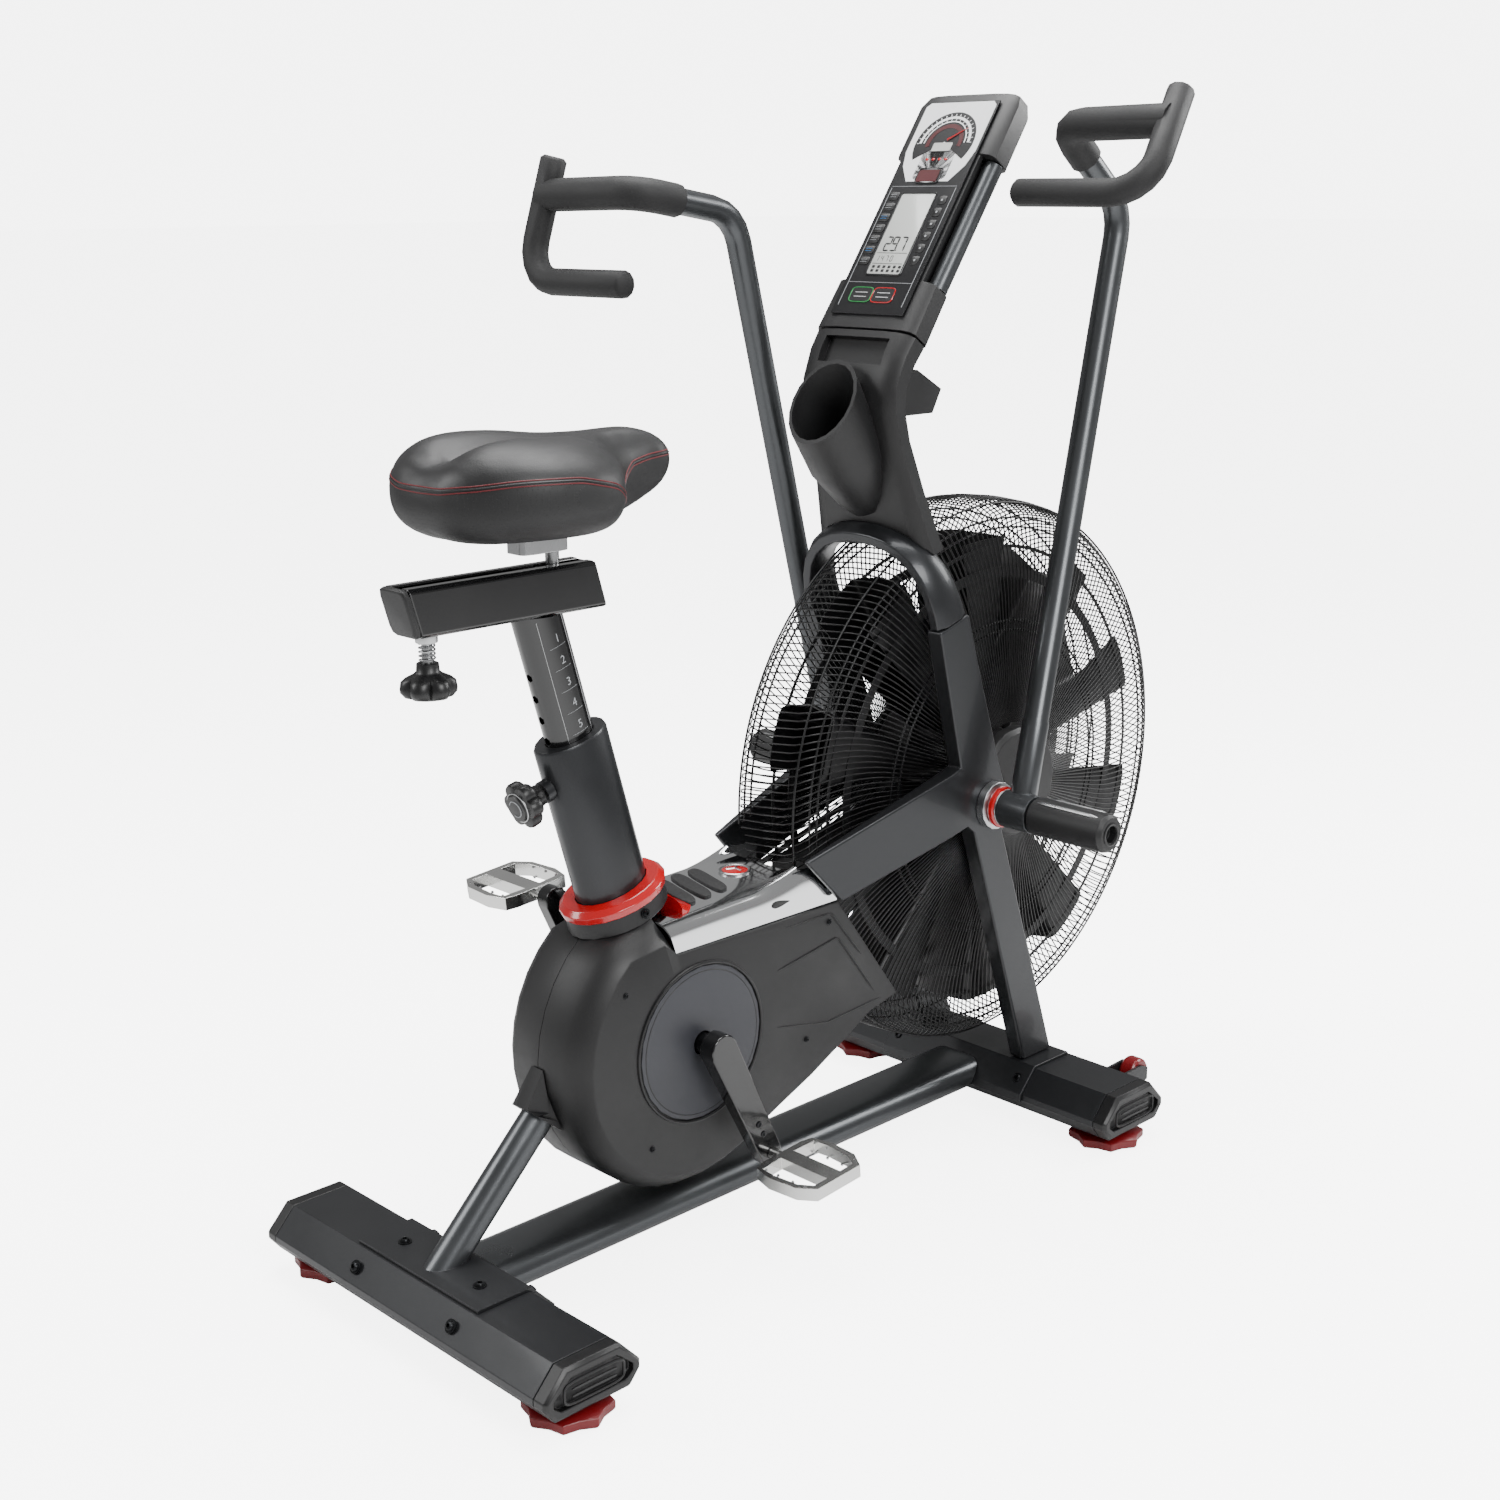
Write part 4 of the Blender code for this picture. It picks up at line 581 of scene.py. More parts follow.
@dataclass
class Frame:
    """Side frames, arch, pivots and foot pegs."""
    pivot: tuple[float, float] = (0.797, 0.4825)

    def build(self) -> None:
        """Dress the tubes and add the ring, painted highlight strips and end disc of each pivot and peg."""
        for side, sign in (("left", 1.0), ("right", -1.0)):
            refined(f"side_frame_{side}", GRAPHITE, "frame", "frame_paint", 0.0030)
            refined(f"pivot_boss_{side}", STEEL, "frame", "steel", 0.0008)
            refined(f"foot_peg_{side}", BLACK_ABS, "frame", "black_plastic", 0.0010)
            self.add_peg_trim(side, sign)
        refined("arch", GRAPHITE, "frame", "frame_paint", 0.0020)

    def add_peg_trim(self, side: str, sign: float) -> None:
        """Red ring at the pivot, two thin steel strips along the peg as painted highlights on its upper edges, and
        a ring at its end.
        """
        x, z = self.pivot
        axis = (0.0, sign, 0.0)
        ring = turned([(0.0236, 0.0), (0.0262, 0.0012), (0.0268, 0.0040), (0.0262, 0.0068), (0.0236, 0.0080)],
                      (x, sign * 0.1330, z), axis, 40, hollow=True)
        piece(f"pivot_ring_{side}", ring, RED_GLOSS, "frame", "red_plastic")
        strips = []
        # Painted highlight: two thin steel strips on the peg's upper shoulders stand for the light glinting off
        # its edges.
        for turn in (62.0, 118.0):
            out = np.array([math.cos(math.radians(turn)) * -sign, 0.0, math.sin(math.radians(turn))])
            base = np.array([x, 0.0, z]) + out * 0.0232
            path = np.array([base + (0.0, sign * y, 0.0) for y in np.linspace(0.2010, 0.2930, 12)])
            size = 0.0030 * np.clip(np.minimum(np.arange(12), 11 - np.arange(12)) + 0.4, 0.0, 1.0)
            strips.append(tube(path, size, 16))
        piece(f"peg_highlight_strips_{side}", joined(strips), STEEL, "frame", "steel")
        lip = turned([(0.0112, 0.0), (0.0150, 0.0), (0.0150, 0.0010), (0.0135, 0.0016), (0.0112, 0.0010)],
                     (x, sign * 0.3062, z), axis, 32, hollow=True)
        piece(f"peg_end_ring_{side}", lip, DARK_ABS, "frame", "steel")


@dataclass
class Arms:
    """Swinging arms with their foam grips."""
    def build(self) -> None:
        """Dress both arms; the foam stays a plain smooth sleeve."""
        for side in ("left", "right"):
            refined(f"arm_{side}", SILVER_GREY, f"arm_{side}", "arm_paint", 0.0008)
            refined(f"grip_{side}", GRIP_FOAM, f"arm_{side}", "grip_rubber", 0.0030, 50.0)


@dataclass
class SeatPost:
    """Seat tube, collar, post with its scale, slider with its knobs."""
    foot: tuple[float, float] = (0.2685, 0.440)
    lean: float = math.radians(16.2)
    numerals: tuple[str, ...] = ("1", "2", "3", "4", "5")

    def point(self, along: float, forward: float, across: float = 0.0) -> np.ndarray:
        """Point given along the post, forward of its middle and across the bike."""
        s, c = math.sin(self.lean), math.cos(self.lean)
        return np.array([self.foot[0] - s * along + c * forward, across,
                         self.foot[1] + c * along + s * forward])

    def build(self) -> None:
        """Dress the post's parts and add the scale, bolts and spring."""
        refined("seat_tube", GRAPHITE, "frame", "frame_paint", 0.0010)
        collar = refined("seat_collar", BLACK_ABS, "frame", "red_plastic", 0.0012)
        self.redden_collar(collar)
        self.add_collar_tail()
        refined("seat_post", GLOSS_BLACK, "post", "gloss_black", 0.0006)
        refined("slider_channel", GLOSS_BLACK, "post", "gloss_black", 0.0016)
        refined("slider_cap", BLACK_ABS, "post", "black_plastic", 0.0020)
        refined("saddle_carriage", STEEL, "saddle", "steel", 0.0010)
        self.add_scale()
        self.add_knob_metal()

    def add_collar_tail(self) -> None:
        """Red tongue that runs forward from the collar and down over the edge of the cover."""
        rows = []
        for t in np.linspace(0.0, 1.0, 14):
            x = 0.316 + 0.040 * t
            half = 0.0585 * (1.0 - 0.10 * t)
            inner = np.clip(1.0 - (t / 1.0) ** 1.5, 0.05, 1.0)
            y = np.linspace(-half, half, 25)
            lift = 0.4402 + 0.0145 * (1.0 - t) ** 1.4 * inner - 0.010 * np.abs(y / half) ** 8
            rows.append(np.vstack([np.column_stack([np.full(25, x), y, np.maximum(lift, 0.4406 - 0.020
                                                   * np.abs(y / half) ** 8) + 0.0004]),
                                   np.column_stack([np.full(25, x), y[::-1], np.full(25, 0.4200)])]))
        piece("collar_tail", sheet(np.array(rows)), RED_GLOSS, "frame", "red_plastic")
        plug = socket_bolt(tuple(self.point(0.0105, 0.0, -0.0515)), (0.0, -1.0, 0.15), 0.0042)
        other = socket_bolt(tuple(self.point(0.0105, 0.0, 0.0515)), (0.0, 1.0, 0.15), 0.0042)
        piece("collar_screws", joined([plug, other]), DARK_STEEL, "frame", "steel")

    def redden_collar(self, collar: bpy.types.Object) -> None:
        """The flared upper part of the collar is red, its base black."""
        mesh = collar.data
        mesh.materials.append(RED_GLOSS.material())
        centres = np.empty(len(mesh.polygons) * 3)
        mesh.polygons.foreach_get("center", centres)
        centres = centres.reshape(-1, 3)
        foot = placed(self.point(0.0, 0.0))[0]
        along = (centres - foot) @ np.array([-math.sin(self.lean), 0.0, math.cos(self.lean)])
        mesh.polygons.foreach_set("material_index", (along > 0.0207).astype(np.int32))

    @staticmethod
    def face_at(forward: np.ndarray) -> np.ndarray:
        """Half thickness of the oval post: b sqrt(1 - (forward / a)^2)."""
        return 0.0215 * np.sqrt(np.clip(1.0 - (forward / 0.0310) ** 2, 0.0, 1.0))

    def add_scale(self) -> None:
        """Numbers and lines on the right face of the post, printed in light grey, and painted highlights along the
        edges of its faces.
        """
        shapes = []
        for k, text in enumerate(self.numerals):
            along = 0.345 - 0.026 * k
            curve = bpy.data.curves.new(f"numeral_{text}", "FONT")
            curve.body = text
            curve.size = 0.0135
            curve.extrude = 0.00015
            curve.align_x = "CENTER"
            curve.resolution_u = 4
            holder = bpy.data.objects.new(f"numeral_{text}", curve)
            bpy.context.scene.collection.objects.link(holder)
            mesh = bpy.data.meshes.new_from_object(
                holder.evaluated_get(bpy.context.evaluated_depsgraph_get()))
            co = np.empty(len(mesh.vertices) * 3)
            mesh.vertices.foreach_get("co", co)
            co = co.reshape(-1, 3)
            centre = self.point(along + 0.003, 0.004)
            s, c = math.sin(self.lean), math.cos(self.lean)
            forward, up = np.array([c, 0.0, s]), np.array([-s, 0.0, c])
            points = centre + co[:, :1] * forward + co[:, 1:2] * up
            points[:, 1] = -(self.face_at(co[:, 0] + 0.004) + 0.0001 + 0.5 * np.maximum(co[:, 2], -0.0002))
            shapes.append((points, [tuple(p.vertices) for p in mesh.polygons]))
            bpy.data.objects.remove(holder)
            bar = np.array([self.point(along - 0.002, f, -float(self.face_at(np.array(f))))
                            for f in np.linspace(-0.009, 0.014, 8)])
            shapes.append(tube(bar, 0.00022, 6))
        piece("post_scale", joined(shapes), GREY_INK, "post", "gloss_black")
        # Painted highlight: thin steel lines along both edges of each face of the gloss black post stand for the
        # light it catches there.
        edges = [np.array([self.point(along, f, sign * float(self.face_at(np.array(f))))
                           for along in np.linspace(0.155, 0.378, 6)]) for sign in (1.0, -1.0) for f in (-0.0155, 0.0205)]
        piece("post_edge_highlights", joined([tube(path, 0.00035, 6) for path in edges]), STEEL, "post", "gloss_black")

    def add_knob_metal(self) -> None:
        """Lobed knobs, silver screw and spring over the slider knob, and a nut at the post knob."""
        centre = (0.019, 0.0)
        back = self.point(0.0, -1.0) - self.point(0.0, 0.0)
        grip = [(0.0110, 0.0590, 0.0), (0.0125, 0.0600, 0.0), (0.0135, 0.0680, 0.0), (0.0175, 0.0715, 0.10),
                (0.0232, 0.0745, 0.20), (0.0247, 0.0770, 0.24), (0.0250, 0.0860, 0.24), (0.0240, 0.0890, 0.22),
                (0.0180, 0.0905, 0.10), (0.0170, 0.0896, 0.0), (0.0165, 0.0922, 0.0), (0.0150, 0.0940, 0.0),
                (0.0040, 0.0948, 0.0)]
        base = tuple(self.point(0.186, 0.0))
        piece("post_knob_grip", lobed_knob(base, tuple(back), grip), DARK_ABS, "post_knob", "black_plastic",
              "post_knob", smooth=45.0)
        ring = turned([(0.0168, 0.0), (0.0178, 0.0006), (0.0178, 0.0022), (0.0168, 0.0026)],
                      tuple(np.array(base) + back * 0.0892), tuple(back), 48, hollow=True)
        piece("post_knob_ring", ring, STEEL, "post_knob", "steel")
        arc = [tuple(np.array(base) + back * 0.0947 + 0.0095 * (math.cos(t) * np.array([0.0, 1.0, 0.0])
               + math.sin(t) * (self.point(1.0, 0.0) - self.point(0.0, 0.0)))) for t in np.linspace(0.4, 5.2, 30)]
        piece("post_knob_mark", tube(np.array(arc), 0.0007, 6), GREY_INK, "post_knob", "black_plastic")
        grip = [(0.0105, 0.7740, 0.0), (0.0118, 0.7732, 0.0), (0.0125, 0.7650, 0.0), (0.0150, 0.7625, 0.05),
                (0.0225, 0.7585, 0.20), (0.0262, 0.7545, 0.26), (0.0272, 0.7470, 0.28), (0.0268, 0.7430, 0.28),
                (0.0235, 0.7380, 0.22), (0.0140, 0.7352, 0.06), (0.0030, 0.7345, 0.0)]
        piece("slider_knob_grip", lobed_knob((0.019, 0.0, 0.0), (0.0, 0.0, 1.0), grip), DARK_ABS,
              "slider_knob", "black_plastic", "slider_knob", smooth=45.0)
        bolt = turned([(0.0058, 0.7738), (0.0058, 0.8036), (0.0030, 0.8036)], (0.019, 0.0, 0.0),
                      (0.0, 0.0, 1.0), 24)
        cup = turned([(0.0060, 0.7948), (0.0115, 0.7952), (0.0120, 0.7960), (0.0120, 0.8030),
                      (0.0060, 0.8034)], (0.019, 0.0, 0.0), (0.0, 0.0, 1.0), 36, hollow=True)
        piece("slider_knob_bolt", joined([bolt, cup]), STEEL, "slider_knob", "steel")
        turns = np.linspace(0.0, 2.0 * math.pi * 4.5, 110)
        helix = np.column_stack([centre[0] + 0.0082 * np.cos(turns), 0.0082 * np.sin(turns),
                                 np.linspace(0.7750, 0.7945, 110)])
        piece("slider_knob_spring", tube(helix, 0.0011, 8), STEEL, "slider_knob", "steel")
        nut = turned([(0.0090, 0.0), (0.0128, 0.0), (0.0128, 0.0080), (0.0118, 0.0088), (0.0090, 0.0088)],
                     tuple(self.point(0.186, 0.0) + back * 0.0455), tuple(back), 24, hexes=(1, 2, 3),
                     hollow=True)
        piece("post_knob_nut", nut, STEEL, "frame", "steel")


@dataclass
class Saddle:
    """Wide saddle: a vinyl cushion, a dimpled skirt and two seams."""
    stations: np.ndarray = field(default_factory=lambda: np.array([
        (0.012, 0.040, 0.962, 0.930), (0.020, 0.062, 0.978, 0.914), (0.038, 0.089, 0.991, 0.901),
        (0.062, 0.111, 0.998, 0.8960), (0.092, 0.127, 1.000, 0.8950), (0.125, 0.135, 0.999, 0.8948),
        (0.160, 0.136, 0.996, 0.8948), (0.190, 0.126, 0.992, 0.8955), (0.216, 0.101, 0.990, 0.8975),
        (0.240, 0.071, 0.990, 0.9015), (0.270, 0.050, 0.991, 0.9090), (0.305, 0.041, 0.991, 0.9190),
        (0.334, 0.035, 0.985, 0.9300), (0.349, 0.023, 0.975, 0.9420)]))
    rows: int = 72
    around: int = 72
    swell: float = 0.006

    def rings(self, scale: float) -> np.ndarray:
        """Rows of the saddle from tail to nose.

        Each row is a superellipse, whose half width, top and foot are interpolated smoothly
        along the saddle.  The tail has a shallow trough along its middle.
        """
        s = self.stations
        turn = np.linspace(0.0, math.pi, self.rows)
        x = s[0, 0] + (s[-1, 0] - s[0, 0]) * 0.5 * (1.0 - np.cos(turn))
        half, top, low = (smooth_through(s[:, 0], s[:, k], x) for k in (1, 2, 3))
        angle = np.arange(self.around) * 2.0 * math.pi / self.around
        c, n = np.cos(angle), np.sin(angle)
        a = np.sign(c) * np.abs(c) ** (2.0 / 2.7)
        b = np.sign(n) * np.abs(n) ** (2.0 / 2.5)
        mid, rise = 0.5 * (top + low), 0.5 * (top - low)
        y = half[:, None] * a * scale
        z = mid[:, None] + rise[:, None] * b * scale
        trough = 0.027 * np.exp(-(y / 0.028) ** 2) * (np.clip((0.215 - x) / 0.15, 0.0, 1.0)
                                                           * np.clip((x - 0.014) / 0.045, 0.0, 1.0))[:, None]
        z = z - trough * np.clip(b, 0.0, 1.0)
        xx = x.mean() + (x - x.mean()) * (0.5 + 0.5 * scale)
        return np.stack([np.broadcast_to(xx[:, None], y.shape), y, z], axis=-1)

    def build(self) -> None:
        """Make the cushion, swell it as cloth, then lay the seams over it."""
        shape = sheet(self.rings(0.970))
        cushion = piece("saddle_cushion", shape, VINYL, "saddle", "grip_rubber", "saddle", smooth=180.0)
        self.inflate(cushion)
        cushion.data.materials.append(SIDE_CLOTH.material())
        self.split_skirt(cushion)
        self.add_seams(cushion)
        rail = turned([(0.0, 0.0), (0.030, 0.0), (0.034, 0.002), (0.034, 0.005), (0.0, 0.005)],
                      (0.168, 0.0, 0.8915), (0.0, 0.0, 1.0), 24)
        piece("saddle_base_plate", rail, BLACK_ABS, "saddle", "black_plastic")

    def inflate(self, cushion: bpy.types.Object) -> None:
        """Swell the cushion as a closed bag of cloth, and cap how far each point moves.

        The mesh is remeshed evenly, blown up by pressure with gravity off, moved back to at
        most `swell` from where it started, and subdivided once.
        """
        remesh = cushion.modifiers.new("even", "REMESH")
        remesh.mode, remesh.voxel_size = "VOXEL", 0.0050
        self.apply(cushion)
        count = len(cushion.data.vertices)
        rest = np.empty(count * 3)
        cushion.data.vertices.foreach_get("co", rest)
        rest = rest.reshape(-1, 3)
        cloth = cushion.modifiers.new("bag", "CLOTH")
        cloth.settings.use_pressure = True
        cloth.settings.uniform_pressure_force = 4.0
        cloth.settings.effector_weights.gravity = 0.0
        cloth.settings.quality = 5
        cloth.point_cache.frame_start, cloth.point_cache.frame_end = 1, 20
        for step in range(1, 21):
            bpy.context.scene.frame_set(step)
        self.apply(cushion)
        now = np.empty(count * 3)
        cushion.data.vertices.foreach_get("co", now)
        now = now.reshape(-1, 3)
        move = now - rest
        far = np.maximum(np.linalg.norm(move, axis=1), 1e-9)
        limit = self.swell * np.tanh(far / self.swell)
        cushion.data.vertices.foreach_set("co", (rest + move * (limit / far)[:, None]).ravel())
        smooth = cushion.modifiers.new("relax", "SMOOTH")
        smooth.factor, smooth.iterations = 0.5, 6
        finer = cushion.modifiers.new("finer", "SUBSURF")
        finer.levels = finer.render_levels = 1
        self.apply(cushion)
        bpy.context.scene.frame_set(1)
        cushion.data.polygons.foreach_set("use_smooth", np.ones(len(cushion.data.polygons), bool))

    @staticmethod
    def apply(obj: bpy.types.Object) -> None:
        """Put the evaluated mesh in place of the mesh, and drop the modifiers."""
        graph = bpy.context.evaluated_depsgraph_get()
        mesh = bpy.data.meshes.new_from_object(obj.evaluated_get(graph))
        obj.modifiers.clear()
        old = obj.data
        obj.data = mesh
        bpy.data.meshes.remove(old)

    def seam_height(self, x: np.ndarray) -> np.ndarray:
        """Height of the seam: high at the tail, down to the foot of each wing, up again on the nose."""
        s = self.stations
        top, low = (smooth_through(s[:, 0], s[:, k], x) for k in (2, 3))
        share = np.interp(x, (0.012, 0.060, 0.130, 0.180, 0.212, 0.232, 0.236, 0.250, 0.270, 0.349),
                          (0.64, 0.66, 0.66, 0.58, 0.38, 0.06, 0.30, 0.52, 0.62, 0.66))
        return low + (top - low) * share

    def split_skirt(self, cushion: bpy.types.Object) -> None:
        """Faces below the seam get the dimpled cloth."""
        mesh = cushion.data
        centres = np.empty(len(mesh.polygons) * 3)
        mesh.polygons.foreach_get("center", centres)
        centres = centres.reshape(-1, 3) + (MID_X, 0.0, FLOOR_Z)
        below = centres[:, 2] < self.seam_height(np.clip(centres[:, 0], 0.012, 0.349))
        mesh.polygons.foreach_set("material_index", below.astype(np.int32))

    def line_on(self, cushion: bpy.types.Object, centre: float, start: float, end: float,
                lift: float) -> np.ndarray:
        """Line around the cushion at the seam's height, found by casting rays at its side.

        Args:
            cushion: the finished cushion.
            centre: station on the middle line that the rays aim at.
            start, end: angles of the first and last ray, degrees from forward.
            lift: how far above the seam the line runs.
        Returns:
            Placed points.
        """
        graph = bpy.context.evaluated_depsgraph_get()
        path = []
        for t in np.radians(np.linspace(start, end, 150)):
            way = np.array([math.cos(t), math.sin(t), 0.0])
            z, hit = 0.945, None
            for _ in range(3):
                origin = placed(np.array([centre, 0.0, z]))[0] + way * 0.30
                found, where, normal, _ = cushion.ray_cast(Vector(origin), Vector(-way), distance=0.30,
                                                           depsgraph=graph)
                if not found:
                    break
                hit = np.array(where) + np.array(normal) * 0.0002
                z = float(self.seam_height(np.array([np.clip(hit[0] + MID_X, 0.0125, 0.3485)]))[0]) + lift
            if hit is not None:
                path.append(hit)
        path = np.array(path)
        for _ in range(3):
            path[1:-1] = 0.5 * path[1:-1] + 0.25 * (path[2:] + path[:-2])
        return path

    def add_seams(self, cushion: bpy.types.Object) -> None:
        """Piping with a row of dark red thread on each side, round the wings and round the nose."""
        bpy.context.view_layer.update()
        runs = {"wing": (0.105, 34.0, 326.0), "nose": (0.262, -112.0, 112.0)}
        for name, (centre, start, end) in runs.items():
            for lift, radius, finish in ((0.0026, 0.00075, RED_THREAD), (-0.0026, 0.00075, RED_THREAD),
                                         (0.0, 0.0011, VINYL)):
                path = self.line_on(cushion, centre, start, end, lift)
                row = {0.0026: "upper", -0.0026: "lower", 0.0: "piping"}[lift]
                piece(f"saddle_{name}_{row}", (tube(path, radius, 6)), finish, "saddle", "grip_rubber",
                      at_origin=True)


def smooth_through(xs: np.ndarray, ys: np.ndarray, at: np.ndarray) -> np.ndarray:
    """Cubic through the stations: each piece matches the slopes of its neighbours' chords."""
    xs, ys, at = (np.asarray(v, float) for v in (xs, ys, at))
    slope = np.gradient(ys, xs)
    i = np.clip(np.searchsorted(xs, at) - 1, 0, len(xs) - 2)
    h = xs[i + 1] - xs[i]
    t = (at - xs[i]) / h
    return ((2 * t ** 3 - 3 * t ** 2 + 1) * ys[i] + (t ** 3 - 2 * t ** 2 + t) * h * slope[i]
            + (-2 * t ** 3 + 3 * t ** 2) * ys[i + 1] + (t ** 3 - t ** 2) * h * slope[i + 1])


@dataclass
class Drive:
    """Housing, bright cover, disc covers, cranks and pedals."""
    crank: tuple[float, float] = (0.329, 0.281)
    housing_y: float = 0.073
    disc_r: float = 0.094

    def build(self) -> None:
        """Dress the drive and add pads, badge, vents, screws and raised lines."""
        for side, sign in (("left", 1.0), ("right", -1.0)):
            refined(f"housing_{side}", BLACK_ABS, "frame", "black_plastic", 0.0020, 40.0)
            refined(f"disc_cover_{side}", SLATE_ABS, "frame", "black_plastic", 0.0006)
            refined(f"crank_{side}", GLOSS_BLACK, "crank", "gloss_black", 0.0020)
            refined(f"pedal_{side}", POLISHED, f"pedal_{side}", "cast_alloy", 0.0006)
            self.add_side_detail(side, sign)
            self.add_crank_detail(side, sign)
        refined("crank_spindle", DARK_STEEL, "crank", "steel", 0.0)
        refined("drive_belt", RUBBER, "frame", "grip_rubber", 0.0)
        self.add_cover()
        self.add_cover_detail()

    def on_side(self, sign: float):
        """Placing function of the flat side face of one housing half."""
        def put(a, b, h):
            """(x, z, height over the face) to points."""
            return np.column_stack([np.asarray(a, float), sign * (self.housing_y + np.asarray(h, float)),
                                    np.asarray(b, float)])
        return put

    def add_side_detail(self, side: str, sign: float) -> None:
        """Dark ring around the disc, the swept lines forward of it, and small screws."""
        x, z = self.crank
        put = self.on_side(sign)
        ring = tube(circle((x, sign * (self.housing_y + 0.0010), z), self.disc_r + 0.0030, 96), 0.0022, 8,
                    closed=True)
        rim = tube(circle((x, sign * (self.housing_y + 0.0022), z), self.disc_r - 0.006, 96), 0.0009, 6,
                   closed=True)
        piece(f"disc_ring_{side}", joined([ring, rim]), DARK_ABS, "frame", "black_plastic")
        lines = []
        for pts in (((0.455, 0.335), (0.560, 0.352), (0.628, 0.262)), ((0.455, 0.262), (0.540, 0.244),
                    (0.640, 0.250)), ((0.470, 0.386), (0.548, 0.386), (0.603, 0.318))):
            way = np.array(pts)
            t = np.linspace(0.0, len(way) - 1.0, 28)
            a = np.interp(t, np.arange(len(way)), way[:, 0])
            b = np.interp(t, np.arange(len(way)), way[:, 1])
            size = 0.0012 * np.clip(np.minimum(np.arange(28), 27 - np.arange(28)) * 0.5 + 0.2, 0.0, 1.0)
            lines.append(tube(put(a, b, np.zeros(28)), size, 6))
        piece(f"housing_lines_{side}", joined(lines), DARK_ABS, "frame", "black_plastic")
        screws = [socket_bolt((a, sign * self.housing_y, b), (0.0, sign, 0.0), 0.0026)
                  for a, b in ((0.215, 0.370), (0.250, 0.170), (0.402, 0.176), (0.505, 0.232), (0.545, 0.375))]
        piece(f"housing_screws_{side}", joined(screws), DARK_STEEL, "frame", "steel")

    def add_crank_detail(self, side: str, sign: float) -> None:
        """Spindle bolt, dust cap ring and pedal axle end on each crank."""
        x, z = self.crank
        turn = math.radians(25.0)
        along = np.array([-sign * math.sin(turn), 0.0, sign * math.cos(turn)])
        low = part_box(f"crank_{side}")
        face = max(abs(low[0][1]), abs(low[1][1]))
        bolt = turned([(0.0125, -0.0006), (0.0125, 0.0010), (0.0105, 0.0016), (0.0060, 0.0016), (0.0056, 0.0002)],
                      (x, sign * (face - 0.0090), z), (0.0, sign, 0.0), 24, hexes=(3, 4))
        shapes = [bolt]
        for reach in (0.118, 0.134):
            hole = turned([(0.0030, -0.0002), (0.0042, 0.0004), (0.0030, 0.0009), (0.0018, 0.0001)],
                          tuple(np.array([x, sign * (face - 0.0012), z]) + along * reach), (0.0, sign, 0.0), 20)
            shapes.append(hole)
        piece(f"crank_trim_{side}", joined(shapes), DARK_STEEL, "crank", "steel")
        self.add_pedal_pins(side, sign, along)

    def add_pedal_pins(self, side: str, sign: float, along: np.ndarray) -> None:
        """Short grip pins on both faces of the pedal cage."""
        low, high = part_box(f"pedal_{side}")
        low, high = np.array(low) + (MID_X, 0.0, FLOOR_Z), np.array(high) + (MID_X, 0.0, FLOOR_Z)
        centre = np.array([self.crank[0], 0.0, self.crank[1]]) + along * 0.165
        tilt = math.radians(5.0)
        forward = np.array([math.cos(tilt), 0.0, math.sin(tilt)])
        up = np.array([-math.sin(tilt), 0.0, math.cos(tilt)])
        pins = []
        for f in (-0.041, 0.041):
            for y in (0.152, 0.172, 0.196, 0.216):
                for face in (1.0, -1.0):
                    foot = centre + forward * f + up * face * 0.0066 + np.array([0.0, sign * y, 0.0])
                    pins.append(turned([(0.0019, -0.0008), (0.0019, 0.0002), (0.0013, 0.0016)], tuple(foot),
                                       tuple(up * face), 8))
        piece(f"pedal_pins_{side}", joined(pins), STEEL, f"pedal_{side}", "steel")

    def add_cover(self) -> None:
        """Bright cover: across it, |y / w|^5 + |z / h|^5 = 1, and each shoulder swells up to its rail.

        Along it, the middle stops short of the fan guard while both sides run on to the rail.
        """
        u = np.linspace(-0.5 * math.pi, 0.5 * math.pi, 91)[None, :]
        v = np.linspace(0.0, 1.0, 41)[:, None]
        y = 0.0722 * np.sign(np.sin(u)) * np.abs(np.sin(u)) ** 0.4
        rise = np.abs(np.cos(u)) ** 0.4
        end = 0.4970 + 0.0620 * np.clip((np.abs(y) - 0.0655) / 0.0035, 0.0, 1.0)
        start = 0.2930 - 0.0130 * rise
        x = start + (end - start) * v
        top = np.interp(x, (0.283, 0.330, 0.420, 0.500, 0.563), (0.4385, 0.4408, 0.4440, 0.4462, 0.4462))
        swell = 0.0170 * np.clip((x - 0.425) / 0.075, 0.0, 1.0) ** 1.6
        ridge = np.exp(-((np.abs(y) - 0.0640) / 0.0130) ** 2)
        z = 0.4000 + (top - 0.4000 + swell * ridge) * rise
        shape = sheet(np.stack(np.broadcast_arrays(x, y, z), -1), wrap_cols=False)
        cover = piece("top_cover_skin", shape, CHROME, "frame", "chrome_plastic", "top_cover", smooth=60.0)
        wall = cover.modifiers.new("wall", "SOLIDIFY")
        wall.thickness, wall.offset = 0.0024, -1.0

